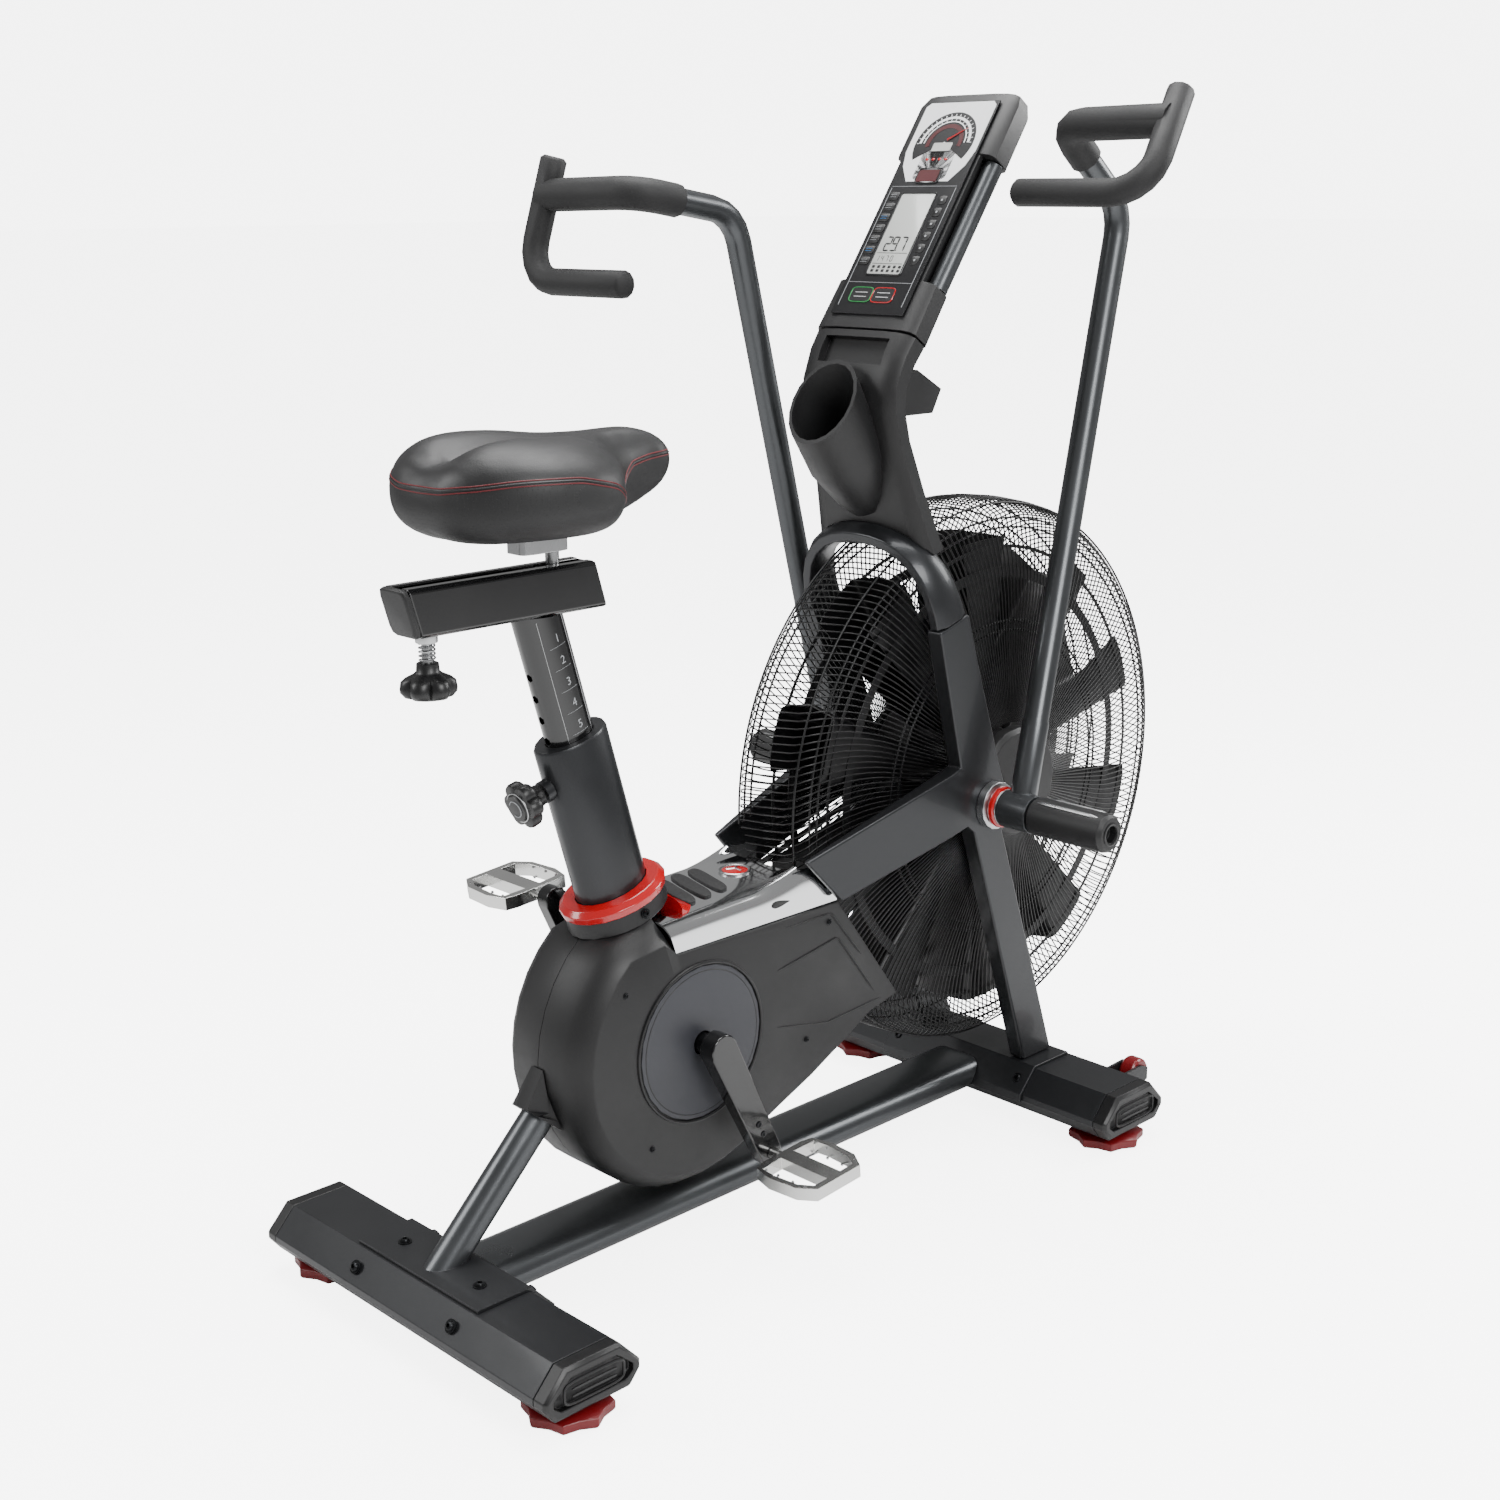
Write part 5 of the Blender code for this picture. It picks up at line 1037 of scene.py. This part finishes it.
    def add_cover_detail(self) -> None:
        """Three dark pads, a round badge and side vents on the bright cover."""
        def top(a, b, h):
            """(x, y, height over the cover's roof) to points; the roof rises by 20 mm a metre."""
            x = np.asarray(a, float)
            return np.column_stack([x, np.asarray(b, float),
                                    np.interp(x, (0.330, 0.420, 0.500), (0.4410, 0.4440, 0.4460)) + h])
        pads = []
        for k in range(3):
            centre = (0.356 + 0.0265 * k, 0.0)
            outline = rounded(0.0102, 0.0450 - 0.002 * k, 3.2, 44)
            slant = outline[:, 1] * 0.25
            pads.append(slab(np.column_stack([outline[:, 0] + slant, outline[:, 1]]) + centre,
                             -0.0010, 0.0026, top, 0.0016))
        piece("cover_pads", joined(pads), RUBBER, "frame", "black_plastic")
        badge = turned([(0.0200, -0.0010), (0.0200, 0.0018), (0.0186, 0.0026), (0.0170, 0.0018)],
                       (0.4550, 0.0, 0.4448), (0.0, 0.0, 1.0), 48)
        piece("badge_ring", badge, STEEL, "frame", "steel")
        dome = turned([(0.0170, 0.0), (0.0166, 0.0014), (0.0120, 0.0026), (0.0050, 0.0031), (0.0008, 0.0032)],
                      (0.4550, 0.0, 0.4450), (0.0, 0.0, 1.0), 48)
        piece("badge_dome", dome, RED_GLOSS, "frame", "red_plastic")
        star = []
        for k in range(3):
            turn = np.radians(30.0 + 120.0 * k)
            far = np.array([0.4550 + 0.0110 * np.cos(turn), 0.0110 * np.sin(turn), 0.4478])
            star.append(tube(np.array([(0.4550, 0.0, 0.4482), far]), 0.0012, 8))
        piece("badge_mark", joined(star), STEEL, "frame", "steel")
        vents = []
        for sign in (1.0, -1.0):
            def put(a, b, h, sign=sign):
                """Side of the cover."""
                return np.column_stack([a, sign * (0.0712 + np.asarray(h, float)), b])
            drop = np.radians(np.arange(32) * 360.0 / 32)
            out = np.column_stack([0.462 + 0.0150 * np.cos(drop),
                                   0.4190 + 0.0062 * np.sin(drop) * (0.6 - 0.4 * np.cos(drop))])
            vents.append(slab(out, 0.0004, 0.0018, put, 0.0006))
        piece("cover_vents", joined(vents), DARK_ABS, "frame", "black_plastic")


@dataclass
class Fan:
    """Fan wheel, its axle, hub covers and the fine wire guard."""
    centre: tuple[float, float] = (0.8665, 0.4955)
    wires: int = 230
    wire: float = 0.00105
    rake: float = 0.11

    def depth(self, r: np.ndarray) -> np.ndarray:
        """Distance of the guard's face from the middle plane at a radius."""
        return np.interp(r, (0.076, 0.200, 0.345, 0.363), (0.0860, 0.0720, 0.0580, 0.0460))

    def build(self) -> None:
        """Dress the fan and weave the guard."""
        self.add_rotor()
        refined("fan_axle", STEEL, "frame", "steel", 0.0)
        for side, sign in (("left", 1.0), ("right", -1.0)):
            refined(f"hub_cover_{side}", BLACK_ABS, "frame", "black_plastic", 0.0010)
            self.add_hub_slots(side, sign)
        self.add_guard()
        self.add_hoops()

    def add_rotor(self) -> None:
        """Ten folded blades on two hub discs.

        Each blade is a channel: its web runs out from the hub, and a flange turns along the
        circle at each side, wider towards the tip.  Perforated straps tie the tips together.
        """
        x, z = self.centre
        low, high = -0.0500, 0.0440
        r = np.linspace(0.062, 0.314, 26)[:, None]
        section = np.array([(1.0, low + 0.004), (0.85, low + 0.001), (0.5, low), (0.16, low), (0.04, low + 0.002),
                            (0.0, low + 0.007), (-0.10, 0.0), (0.0, high - 0.007), (0.04, high - 0.002),
                            (0.16, high), (0.5, high), (0.85, high - 0.001), (1.0, high - 0.004)])
        width = 0.008 + 0.076 * ((r - 0.062) / 0.252) ** 0.9
        shapes = []
        for k in range(10):
            turn = math.radians(36.0 * k + 12.0)
            angle = turn + section[None, :, 0] * width / r
            y = np.broadcast_to(section[None, :, 1], angle.shape)
            rows = np.stack([x + r * np.cos(angle), y, z + r * np.sin(angle)], -1)
            shapes.append(sheet(rows, wrap_cols=False))
        blades = piece("fan_blades", joined(shapes), SATIN_WIRE, "fan", "wire_black", "fan_rotor", smooth=50.0)
        wall = blades.modifiers.new("wall", "SOLIDIFY")
        wall.thickness, wall.offset = 0.0012, 0.0
        straps = []
        for y in (low - 0.0006, high + 0.0006):
            for r_in, r_out in ((0.262, 0.275), (0.300, 0.3045)):
                turn = np.arange(120) * 2.0 * math.pi / 120
                ring = np.column_stack([np.cos(turn), np.zeros(120), np.sin(turn)])
                rows = [np.array([x, y + d, z]) + ring * radius for radius, d in
                        ((r_in, -0.0005), (r_out, -0.0005), (r_out, 0.0005), (r_in, 0.0005))]
                straps.append(sheet(np.array(rows), wrap_rows=True))
        piece("fan_straps", joined(straps), BLADE, "fan", "wire_black")
        hub = [turned([(0.0085, y), (0.064, y), (0.066, y + 0.002), (0.064, y + 0.004), (0.0085, y + 0.004)],
                      (x, 0.0, z), (0.0, 1.0, 0.0), 64, hollow=True) for y in (low, high - 0.004)]
        hub.append(turned([(0.0085, low + 0.004), (0.030, low + 0.004), (0.030, high - 0.004),
                           (0.0085, high - 0.004)], (x, 0.0, z), (0.0, 1.0, 0.0), 48, hollow=True))
        piece("fan_hub", joined(hub), SATIN_WIRE, "fan", "wire_black", smooth=40.0)

    def path_of(self, turn: float) -> np.ndarray:
        """One guard wire from the right hub, round the rim to the left hub.

        Its radius and distance from the middle plane follow the guard's profile; its angle
        swings by `rake` towards the rim, the same way on both faces, so near and far wires cross.
        """
        x, z = self.centre
        step = np.concatenate([np.linspace(0.0, 0.55, 12)[:-1], np.linspace(0.55, 1.0, 14)])
        r = np.interp(step, (0.0, 0.36, 0.86, 0.955, 0.985, 1.0), (0.076, 0.200, 0.345, 0.3600, 0.3630, 0.3630))
        y = np.interp(step, (0.0, 0.36, 0.86, 0.955, 0.985, 1.0), (0.0860, 0.0720, 0.0575, 0.0420, 0.0200, 0.0))
        swing = self.rake * np.clip((step - 0.45) / 0.55, 0.0, 1.0) ** 1.6
        r, y = np.concatenate([r, r[-2::-1]]), np.concatenate([-y, y[-2::-1]])
        angle = turn + np.concatenate([swing - self.rake, self.rake - swing[-2::-1]])
        return np.column_stack([x + r * np.cos(angle), y, z + r * np.sin(angle)])

    def add_guard(self) -> None:
        """Radial wires round both faces; the left face leaves a gap where the belt runs in."""
        x, z = self.centre
        right, left = [], []
        for k in range(self.wires):
            turn = 2.0 * math.pi * k / self.wires
            path = self.path_of(turn)
            angle = math.degrees(turn) % 360.0
            half = len(path) // 2
            right.append(tube(path[:half + 1], self.wire, 5))
            far = path[half:]
            if 182.0 < angle < 232.0:
                radius = np.hypot(far[:, 0] - x, far[:, 2] - z)
                left.append(tube(far[radius < 0.313], self.wire, 5))
                right.append(tube(far[far[:, 1] < 0.0420], self.wire, 5))
            else:
                left.append(tube(far, self.wire, 5))
        piece("guard_wires_right", joined(right), SATIN_WIRE, "frame", "wire_black", "cage_right", smooth=80.0)
        piece("guard_wires_left", joined(left), SATIN_WIRE, "frame", "wire_black", "cage_left", smooth=80.0)

    def add_hoops(self) -> None:
        """Round hoops welded inside the wires of both faces."""
        x, z = self.centre
        hoops = []
        for sign in (1.0, -1.0):
            for r, off in ((0.0775, 0.0015), (0.1960, 0.0018), (0.2080, 0.0018), (0.3280, 0.0018),
                           (0.3400, 0.0018), (0.3585, 0.0018)):
                gap = sign > 0.0 and r > 0.313
                start, end = (232.0, 542.0) if gap else (0.0, 360.0)
                depth = float(self.depth(np.array(r))) - off
                path = circle((x, sign * depth, z), r, 180, start, end)
                hoops.append(tube(path, 0.0014, 6, closed=not gap))
        piece("guard_hoops", joined(hoops), SATIN_WIRE, "frame", "wire_black", smooth=80.0)

    def add_hub_slots(self, side: str, sign: float) -> None:
        """Raised rims of the slots in the hub cover's face."""
        x, z = self.centre
        shapes = []
        for k in range(-2, 3):
            low = -math.sqrt(max(0.0, 0.056 ** 2 - (0.020 * k) ** 2)) * 0.75
            outline = rounded(0.0042, abs(low), 4.0, 28, (0.018 + 0.0, 0.0))
            def put(a, b, h, k=k):
                """Face of the hub cover."""
                reach = np.hypot(a, 0.014 * k + b * 0.35)
                y = np.interp(reach, (0.009, 0.068), (0.1120, 0.1090))
                return np.column_stack([x + a + 0.008, sign * (y + h), z + 0.014 * k + b * 0.12])
            shapes.append(slab(outline, -0.0010, 0.0010, put, 0.0008))
        piece(f"hub_slots_{side}", joined(shapes), RUBBER, "frame", "black_plastic")


@dataclass
class Console:
    """Console with its printed panels, display and keys, and the neck below it."""
    joint: tuple[float, float] = (0.6717, 1.082)
    tilt: float = math.radians(35.0)
    segments: dict[str, str] = field(default_factory=lambda: {
        "0": "abcdef", "1": "bc", "2": "abged", "3": "abgcd", "4": "fgbc", "5": "afgcd",
        "6": "afgedc", "7": "abc", "8": "abcdefg", "9": "abcdfg"})

    def on_face(self, across, along, out):
        """Points given across (to the rider's left), up the face and out towards the rider."""
        s, c = math.sin(self.tilt), math.cos(self.tilt)
        along, out = np.asarray(along, float), np.asarray(out, float)
        return np.column_stack([self.joint[0] + s * along - c * out, np.asarray(across, float) + 0.0 * along,
                                self.joint[1] + c * along + s * out])

    def plate(self, half_a: float, half_b: float, centre: tuple[float, float], top: float,
              power: float = 8.0, low: float = 0.0020, count: int = 40) -> Shape:
        """Rounded plate on the console face, centre given as (across, along)."""
        outline = rounded(half_a, half_b, power, count, centre)
        return slab(outline, low, top, self.on_face, 0.0003)

    def build(self) -> None:
        """Dress the console and neck, then lay the panels, display and keys on it."""
        refined("console_case", BLACK_ABS, "frame", "black_plastic", 0.0024)
        refined("console_face", BLACK_PANEL, "frame", "panel", 0.0004)
        refined("neck_cover", BLACK_ABS, "frame", "black_plastic", 0.0024, 42.0)
        for side in ("left", "right"):
            refined(f"console_tube_{side}", SILVER_GREY, "frame", "arm_paint", 0.0008)
        for key, finish in (("key_select", DARK_RED_INK), ("key_start", DARK_ABS), ("key_stop", DARK_ABS)):
            refined(key, finish, key, "key_plastic", 0.0003)
        self.add_panels()
        self.add_gauge()
        self.add_display()
        self.add_keys()

    def add_panels(self) -> None:
        """White upper panel with eased corners, and the grey rules that part the lower one."""
        edge = [(-0.050, 0.229), (-0.034, 0.207), (0.034, 0.207), (0.050, 0.229), (0.056, 0.250), (0.056, 0.316),
                (0.050, 0.3215), (-0.050, 0.3215), (-0.056, 0.316), (-0.056, 0.250)]
        outline = np.array(edge)
        dense = np.vstack([outline + (np.roll(outline, -1, 0) - outline) * t for t in (0.0, 0.25, 0.5, 0.75)])
        order = np.argsort(np.arctan2(dense[:, 1] - 0.268, dense[:, 0]))
        shape = slab(dense[order], 0.0020, 0.0026, self.on_face, 0.0002)
        hole = (0.0, 0.2150, 0.018, 0.0095)
        piece("panel_white", self.ring_around(dense[order], hole), WHITE_PANEL, "frame", "panel")
        del shape
        rules = []
        for along in (0.200, 0.0630):
            path = self.on_face(np.linspace(-0.052, 0.052, 12), np.full(12, along), np.full(12, 0.0024))
            rules.append(tube(path, 0.0004, 6))
        for across in (-0.052, 0.052):
            path = self.on_face(np.full(12, across), np.linspace(0.030, 0.198, 12), np.full(12, 0.0024))
            rules.append(tube(path, 0.0004, 6))
        piece("panel_rules", joined(rules), GREY_INK, "frame", "panel")

    def ring_around(self, outline: np.ndarray, hole: tuple[float, float, float, float]) -> Shape:
        """Plate with an opening: its outline joined to the opening's edge by one band each way.

        Args:
            outline: outer edge, (across, along) points in order round the plate.
            hole: centre across, centre along, half width and half height of the opening.
        Returns:
            The closed shape.
        """
        centre = np.array(hole[:2])
        angle = np.arctan2(outline[:, 1] - centre[1], outline[:, 0] - centre[0])
        order = np.argsort(angle)
        outline, angle = outline[order], angle[order]
        c, s = np.cos(angle), np.sin(angle)
        reach = 1.0 / (np.abs(c / hole[2]) ** 6 + np.abs(s / hole[3]) ** 6) ** (1.0 / 6.0)
        inner = centre + np.column_stack([c, s]) * reach[:, None]
        rows = [self.on_face(outline[:, 0], outline[:, 1], np.full(len(c), h)) for h in (0.0020, 0.0028)]
        rows += [self.on_face(inner[:, 0], inner[:, 1], np.full(len(c), h)) for h in (0.0028, 0.0020)]
        return sheet(np.array(rows), wrap_rows=True)

    def add_gauge(self) -> None:
        """Speed gauge: a dark half disc, a grey scale, tick marks and a needle."""
        middle = (0.0, 0.262)
        turn = np.radians(np.linspace(-38.0, 218.0, 40))
        def fan_of(r_out, r_in, start, end, low, high, count=40):
            """Part of a ring between two angles."""
            way = np.radians(np.linspace(start, end, count))
            out = np.column_stack([np.cos(way) * r_out, np.sin(way) * r_out * 0.96])
            back = np.column_stack([np.cos(way[::-1]) * r_in, np.sin(way[::-1]) * r_in * 0.96])
            rows = []
            for edge, h in ((out, low), (out, high), (back[::-1], high), (back[::-1], low)):
                rows.append(self.on_face(middle[0] + edge[:, 0], middle[1] + edge[:, 1], np.full(count, h)))
            pts = np.array(rows).transpose(1, 0, 2)
            return sheet(pts)
        dark = fan_of(0.0465, 0.0020, -32.0, 212.0, 0.0024, 0.0031)
        skirt = slab(soft_box(0.0265, 0.0200, 0.0060, (0.0, 0.2330)), 0.0024, 0.00305, self.on_face, 0.0002)
        key_well = (0.0, 0.2150, 0.0186, 0.0100)
        skirt = self.ring_around(soft_box(0.0265, 0.0215, 0.0060, (0.0, 0.2310)), key_well)
        piece("gauge_back", joined([dark, skirt]), BLACK_PANEL, "frame", "panel")
        scale = fan_of(0.0400, 0.0365, 0.0, 180.0, 0.0029, 0.0034)
        inner = fan_of(0.0330, 0.0315, 0.0, 180.0, 0.0029, 0.0034)
        piece("gauge_scale", joined([scale, inner]), WHITE_PANEL, "frame", "panel")
        hub = fan_of(0.0285, 0.0225, -12.0, 192.0, 0.0029, 0.0034)
        window = slab(soft_box(0.0150, 0.0060, 0.0015, (0.0, 0.2560)), 0.0029, 0.0038, self.on_face, 0.0002)
        piece("gauge_hub", hub, DARK_RED_INK, "frame", "panel")
        piece("gauge_window", window, LCD, "frame", "panel")
        needle = self.on_face(np.linspace(-0.004, -0.0300, 6), np.linspace(0.2660, 0.2830, 6), np.full(6, 0.0040))
        piece("gauge_needle", tube(needle, np.linspace(0.0011, 0.0003, 6), 6), RED_GLOSS, "frame", "panel")
        ticks = []
        for t in np.radians(np.arange(0.0, 181.0, 10.0)):
            r = np.array([0.0405, 0.0435])
            ticks.append(tube(self.on_face(r * math.cos(t), middle[1] + 0.96 * r * math.sin(t),
                                           np.full(2, 0.0032)), 0.0005, 6))
        for k in range(14):
            t = math.radians(12.0 + 12.0 * k)
            r = np.array([0.0320, 0.0392])
            ticks.append(tube(self.on_face(r * math.cos(t), middle[1] + 0.96 * r * math.sin(t),
                                           np.full(2, 0.0034)), 0.0004, 6))
        piece("gauge_ticks", joined(ticks), WHITE_PANEL, "frame", "panel")
        lamps = [self.plate(0.0022, 0.0016, (a, 0.2385), 0.0036, 4.0, 0.0026, 16)
                 for a in (-0.015, -0.005, 0.005, 0.015)]
        piece("gauge_lamps", joined(lamps), RED_GLOSS, "frame", "panel")
        bezel = self.on_face(*self.loop(0.0195, 0.0108, (0.0, 0.2150)), np.full(40, 0.0030))
        piece("select_key_rim", tube(bezel, 0.0008, 6, closed=True), INK, "frame", "panel")
        del turn

    @staticmethod
    def loop(half_a: float, half_b: float, centre: tuple[float, float]) -> tuple[np.ndarray, np.ndarray]:
        """Closed rounded path as its across and along values."""
        points = rounded(half_a, half_b, 5.0, 40, centre)
        return points[:, 0], points[:, 1]

    def digit(self, text: str, across: float, along: float, height: float) -> list[Shape]:
        """Seven-segment digit standing on (across, along); reading goes from left to right."""
        w, h, t = height * 0.42, height * 0.5, height * 0.055
        ends = {"a": ((0, 2), (1, 2)), "b": ((1, 2), (1, 1)), "c": ((1, 1), (1, 0)), "d": ((0, 0), (1, 0)),
                "e": ((0, 0), (0, 1)), "f": ((0, 1), (0, 2)), "g": ((0, 1), (1, 1))}
        shapes = []
        for name in self.segments[text]:
            (a0, b0), (a1, b1) = ends[name]
            a = np.linspace(across - a0 * w, across - a1 * w, 4)
            b = np.linspace(along + b0 * h, along + b1 * h, 4)
            size = t * np.array([0.5, 1.0, 1.0, 0.5])
            shapes.append(tube(self.on_face(a, b, np.full(4, 0.0027)), size, 6))
        return shapes

    def add_display(self) -> None:
        """Grey display in its frame, with digits, rules and small squares."""
        glass = slab(soft_box(0.0270, 0.0570, 0.0025, (0.0020, 0.1320)), 0.0020, 0.0027, self.on_face, 0.0002)
        piece("display_glass", glass, LCD, "frame", "panel")
        rim = soft_box(0.0282, 0.0582, 0.0032, (0.0020, 0.1320))
        path = self.on_face(rim[:, 0], rim[:, 1], np.full(len(rim), 0.0026))
        piece("display_rim", tube(path, 0.0012, 6, closed=True), BLACK_PANEL,
              "frame", "panel")
        shapes = []
        for text, across in (("2", 0.0190), ("9", 0.0080), ("7", -0.0050)):
            shapes += self.digit(text, across, 0.1080, 0.0190)
        shapes.append(self.plate(0.0008, 0.0008, (-0.0015, 0.1085), 0.0031, 3.0, 0.0024, 12))
        for k in range(4):
            shapes += self.digit(str((3 * k + 1) % 10), 0.0230 - 0.0075 * k, 0.0930, 0.0075)
        for along in (0.1045, 0.0895):
            shapes.append(tube(self.on_face(np.array([0.0265, -0.0225]), np.full(2, along),
                                            np.full(2, 0.0028)), 0.0003, 6))
        for k in range(6):
            for j in range(2):
                shapes.append(self.plate(0.0024, 0.0020, (0.0220 - 0.0085 * k, 0.0850 - 0.0055 * j), 0.0030, 6.0,
                                         0.0024, 12))
        piece("display_marks", joined(shapes), INK, "frame", "panel")

    def add_keys(self) -> None:
        """Columns of small keys beside the display, and the coloured rims of the two large keys."""
        small, blue, white = [], [], []
        for k in range(7):
            spot = (0.0425, 0.1860 - 0.0155 * k)
            small.append(self.plate(0.0085, 0.0056, spot, 0.0030, 5.0, 0.0020, 28))
            mark = blue if k % 3 == 2 else white
            for j in (-0.0016, 0.0016):
                mark.append(tube(self.on_face(np.array([spot[0] + 0.005, spot[0] - 0.005]),
                                              np.full(2, spot[1] + j), np.full(2, 0.0031)), 0.0003, 6))
        for k in range(6):
            spot = (-0.0390, 0.1800 - 0.0170 * k)
            small.append(self.plate(0.0065, 0.0060, spot, 0.0030, 5.0, 0.0020, 28))
            white.append(self.plate(0.0014, 0.0014, spot, 0.0033, 3.0, 0.0026, 14))
        piece("small_keys", joined(small), DARK_ABS, "frame", "key_plastic")
        piece("small_key_marks", joined(white), GREY_INK, "frame", "panel")
        piece("small_key_blue_marks", joined(blue), BLUE_INK, "frame", "panel")
        for name, across, finish in (("start", 0.0215, GREEN_INK), ("stop", -0.0145, RED_GLOSS)):
            a, b = self.loop(0.0172, 0.0102, (across, 0.0454))
            piece(f"key_{name}_rim", tube(self.on_face(a, b, np.full(40, 0.0028)), 0.0007, 6, closed=True), finish,
                  "frame", "panel")
            bars = [tube(self.on_face(np.array([across + 0.010, across - 0.010]), np.full(2, 0.0454 + j),
                                      np.full(2, 0.0031)), 0.0004, 6) for j in (-0.003, 0.003)]
            piece(f"key_{name}_marks", joined(bars), WHITE_PANEL, f"key_{name}", "key_plastic")


# ---------------------------------------------------------------- studio
@dataclass
class Studio:
    """Pale floor, soft lights and the camera."""
    spot: tuple[float, float, float] = (-1.79962, -1.76147, 1.23969)
    azimuth: float = -43.959
    pitch: float = 14.961
    roll: float = -0.38
    lens: float = 50.41

    def build(self) -> None:
        """Make the floor, the lights and the camera."""
        self.floor()
        self.lights()
        self.camera()

    def floor(self) -> None:
        """Large pale floor just under the feet."""
        n = 9
        side = np.linspace(-70.0, 70.0, n)
        x, y = np.meshgrid(side, side, indexing="ij")
        mesh = bpy.data.meshes.new("floor")
        points = np.stack([x, y, np.full_like(x, -0.0004)], -1).reshape(-1, 3)
        faces = grid_faces(n, n, False, False)
        mesh.from_pydata(points.tolist(), [], faces[:, ::-1].tolist())
        obj = bpy.data.objects.new("floor", mesh)
        bpy.context.scene.collection.objects.link(obj)
        finish = PAPER_FLOOR.material()
        tree = finish.node_tree
        shader = tree.nodes["Principled BSDF"]
        shader.inputs["Emission Color"].default_value = linear("FFFFFF")
        seen = add_node(tree, "ShaderNodeLightPath").outputs["Is Camera Ray"]
        glow = add_node(tree, "ShaderNodeMath", {0: seen, 1: 5.4}, operation="MULTIPLY")
        tree.links.new(glow.outputs[0], shader.inputs["Emission Strength"])
        mesh.materials.append(finish)

    def lights(self) -> None:
        """One wide soft light overhead, one on each side, and an even white surround."""
        world = bpy.data.worlds.new("studio")
        bpy.context.scene.world = world
        world.use_nodes = True
        tree = world.node_tree
        tree.nodes.clear()
        seen = add_node(tree, "ShaderNodeLightPath").outputs["Is Camera Ray"]
        dim = add_node(tree, "ShaderNodeBackground", {"Color": linear("FFFFFF"), "Strength": 0.32})
        bright = add_node(tree, "ShaderNodeBackground", {"Color": linear("FFFFFF"), "Strength": 6.0})
        both = add_node(tree, "ShaderNodeMixShader", {0: seen, 1: dim.outputs[0], 2: bright.outputs[0]})
        add_node(tree, "ShaderNodeOutputWorld", {"Surface": both.outputs[0]})
        for name, spot, size, power in (("key_light", (-0.8, -3.0, 2.6), 1.6, 110.0),
                                        ("top_light", (0.2, 0.3, 3.4), 2.2, 150.0),
                                        ("rim_light", (2.4, -1.0, 2.0), 1.2, 60.0),
                                        ("left_light", (-2.4, 1.6, 2.2), 1.2, 45.0)):
            lamp = bpy.data.lights.new(name, "AREA")
            lamp.shape, lamp.size, lamp.energy = "SQUARE", size, power
            obj = bpy.data.objects.new(name, lamp)
            obj.location = spot
            obj.rotation_euler = (Vector((0.0, 0.0, 0.5)) - Vector(spot)).to_track_quat("-Z", "Y").to_euler()
            bpy.context.scene.collection.objects.link(obj)

    def camera(self) -> None:
        """Camera behind and to the right of the bike, looking down at it."""
        lens = bpy.data.cameras.new("camera")
        lens.lens, lens.sensor_width, lens.sensor_fit = self.lens, 36.0, "HORIZONTAL"
        forward = np.array([0.67063, 0.69542, -0.25816])
        right0, up0 = np.array([0.71982, -0.69416, 0.0]), np.array([0.17920, 0.18583, 0.96610])
        r = math.radians(self.roll)
        right = math.cos(r) * right0 + math.sin(r) * up0
        up = -math.sin(r) * right0 + math.cos(r) * up0
        turn = Matrix(np.column_stack([right, up, -forward]).tolist()).to_4x4()
        obj = bpy.data.objects.new("camera", lens)
        obj.matrix_world = Matrix.Translation(self.spot) @ turn
        bpy.context.scene.collection.objects.link(obj)
        bpy.context.scene.camera = obj


def main() -> None:
    """Build every sub-assembly in order, then the studio."""
    logging.basicConfig(level=logging.INFO, format="%(name)s: %(message)s")
    for part in (Studio(), Base(), Frame(), Arms(), SeatPost(), Drive(), Fan(), Console(), Saddle()):
        log.info("building %s", type(part).__name__)
        part.build()


if __name__ == "__main__":
    main()
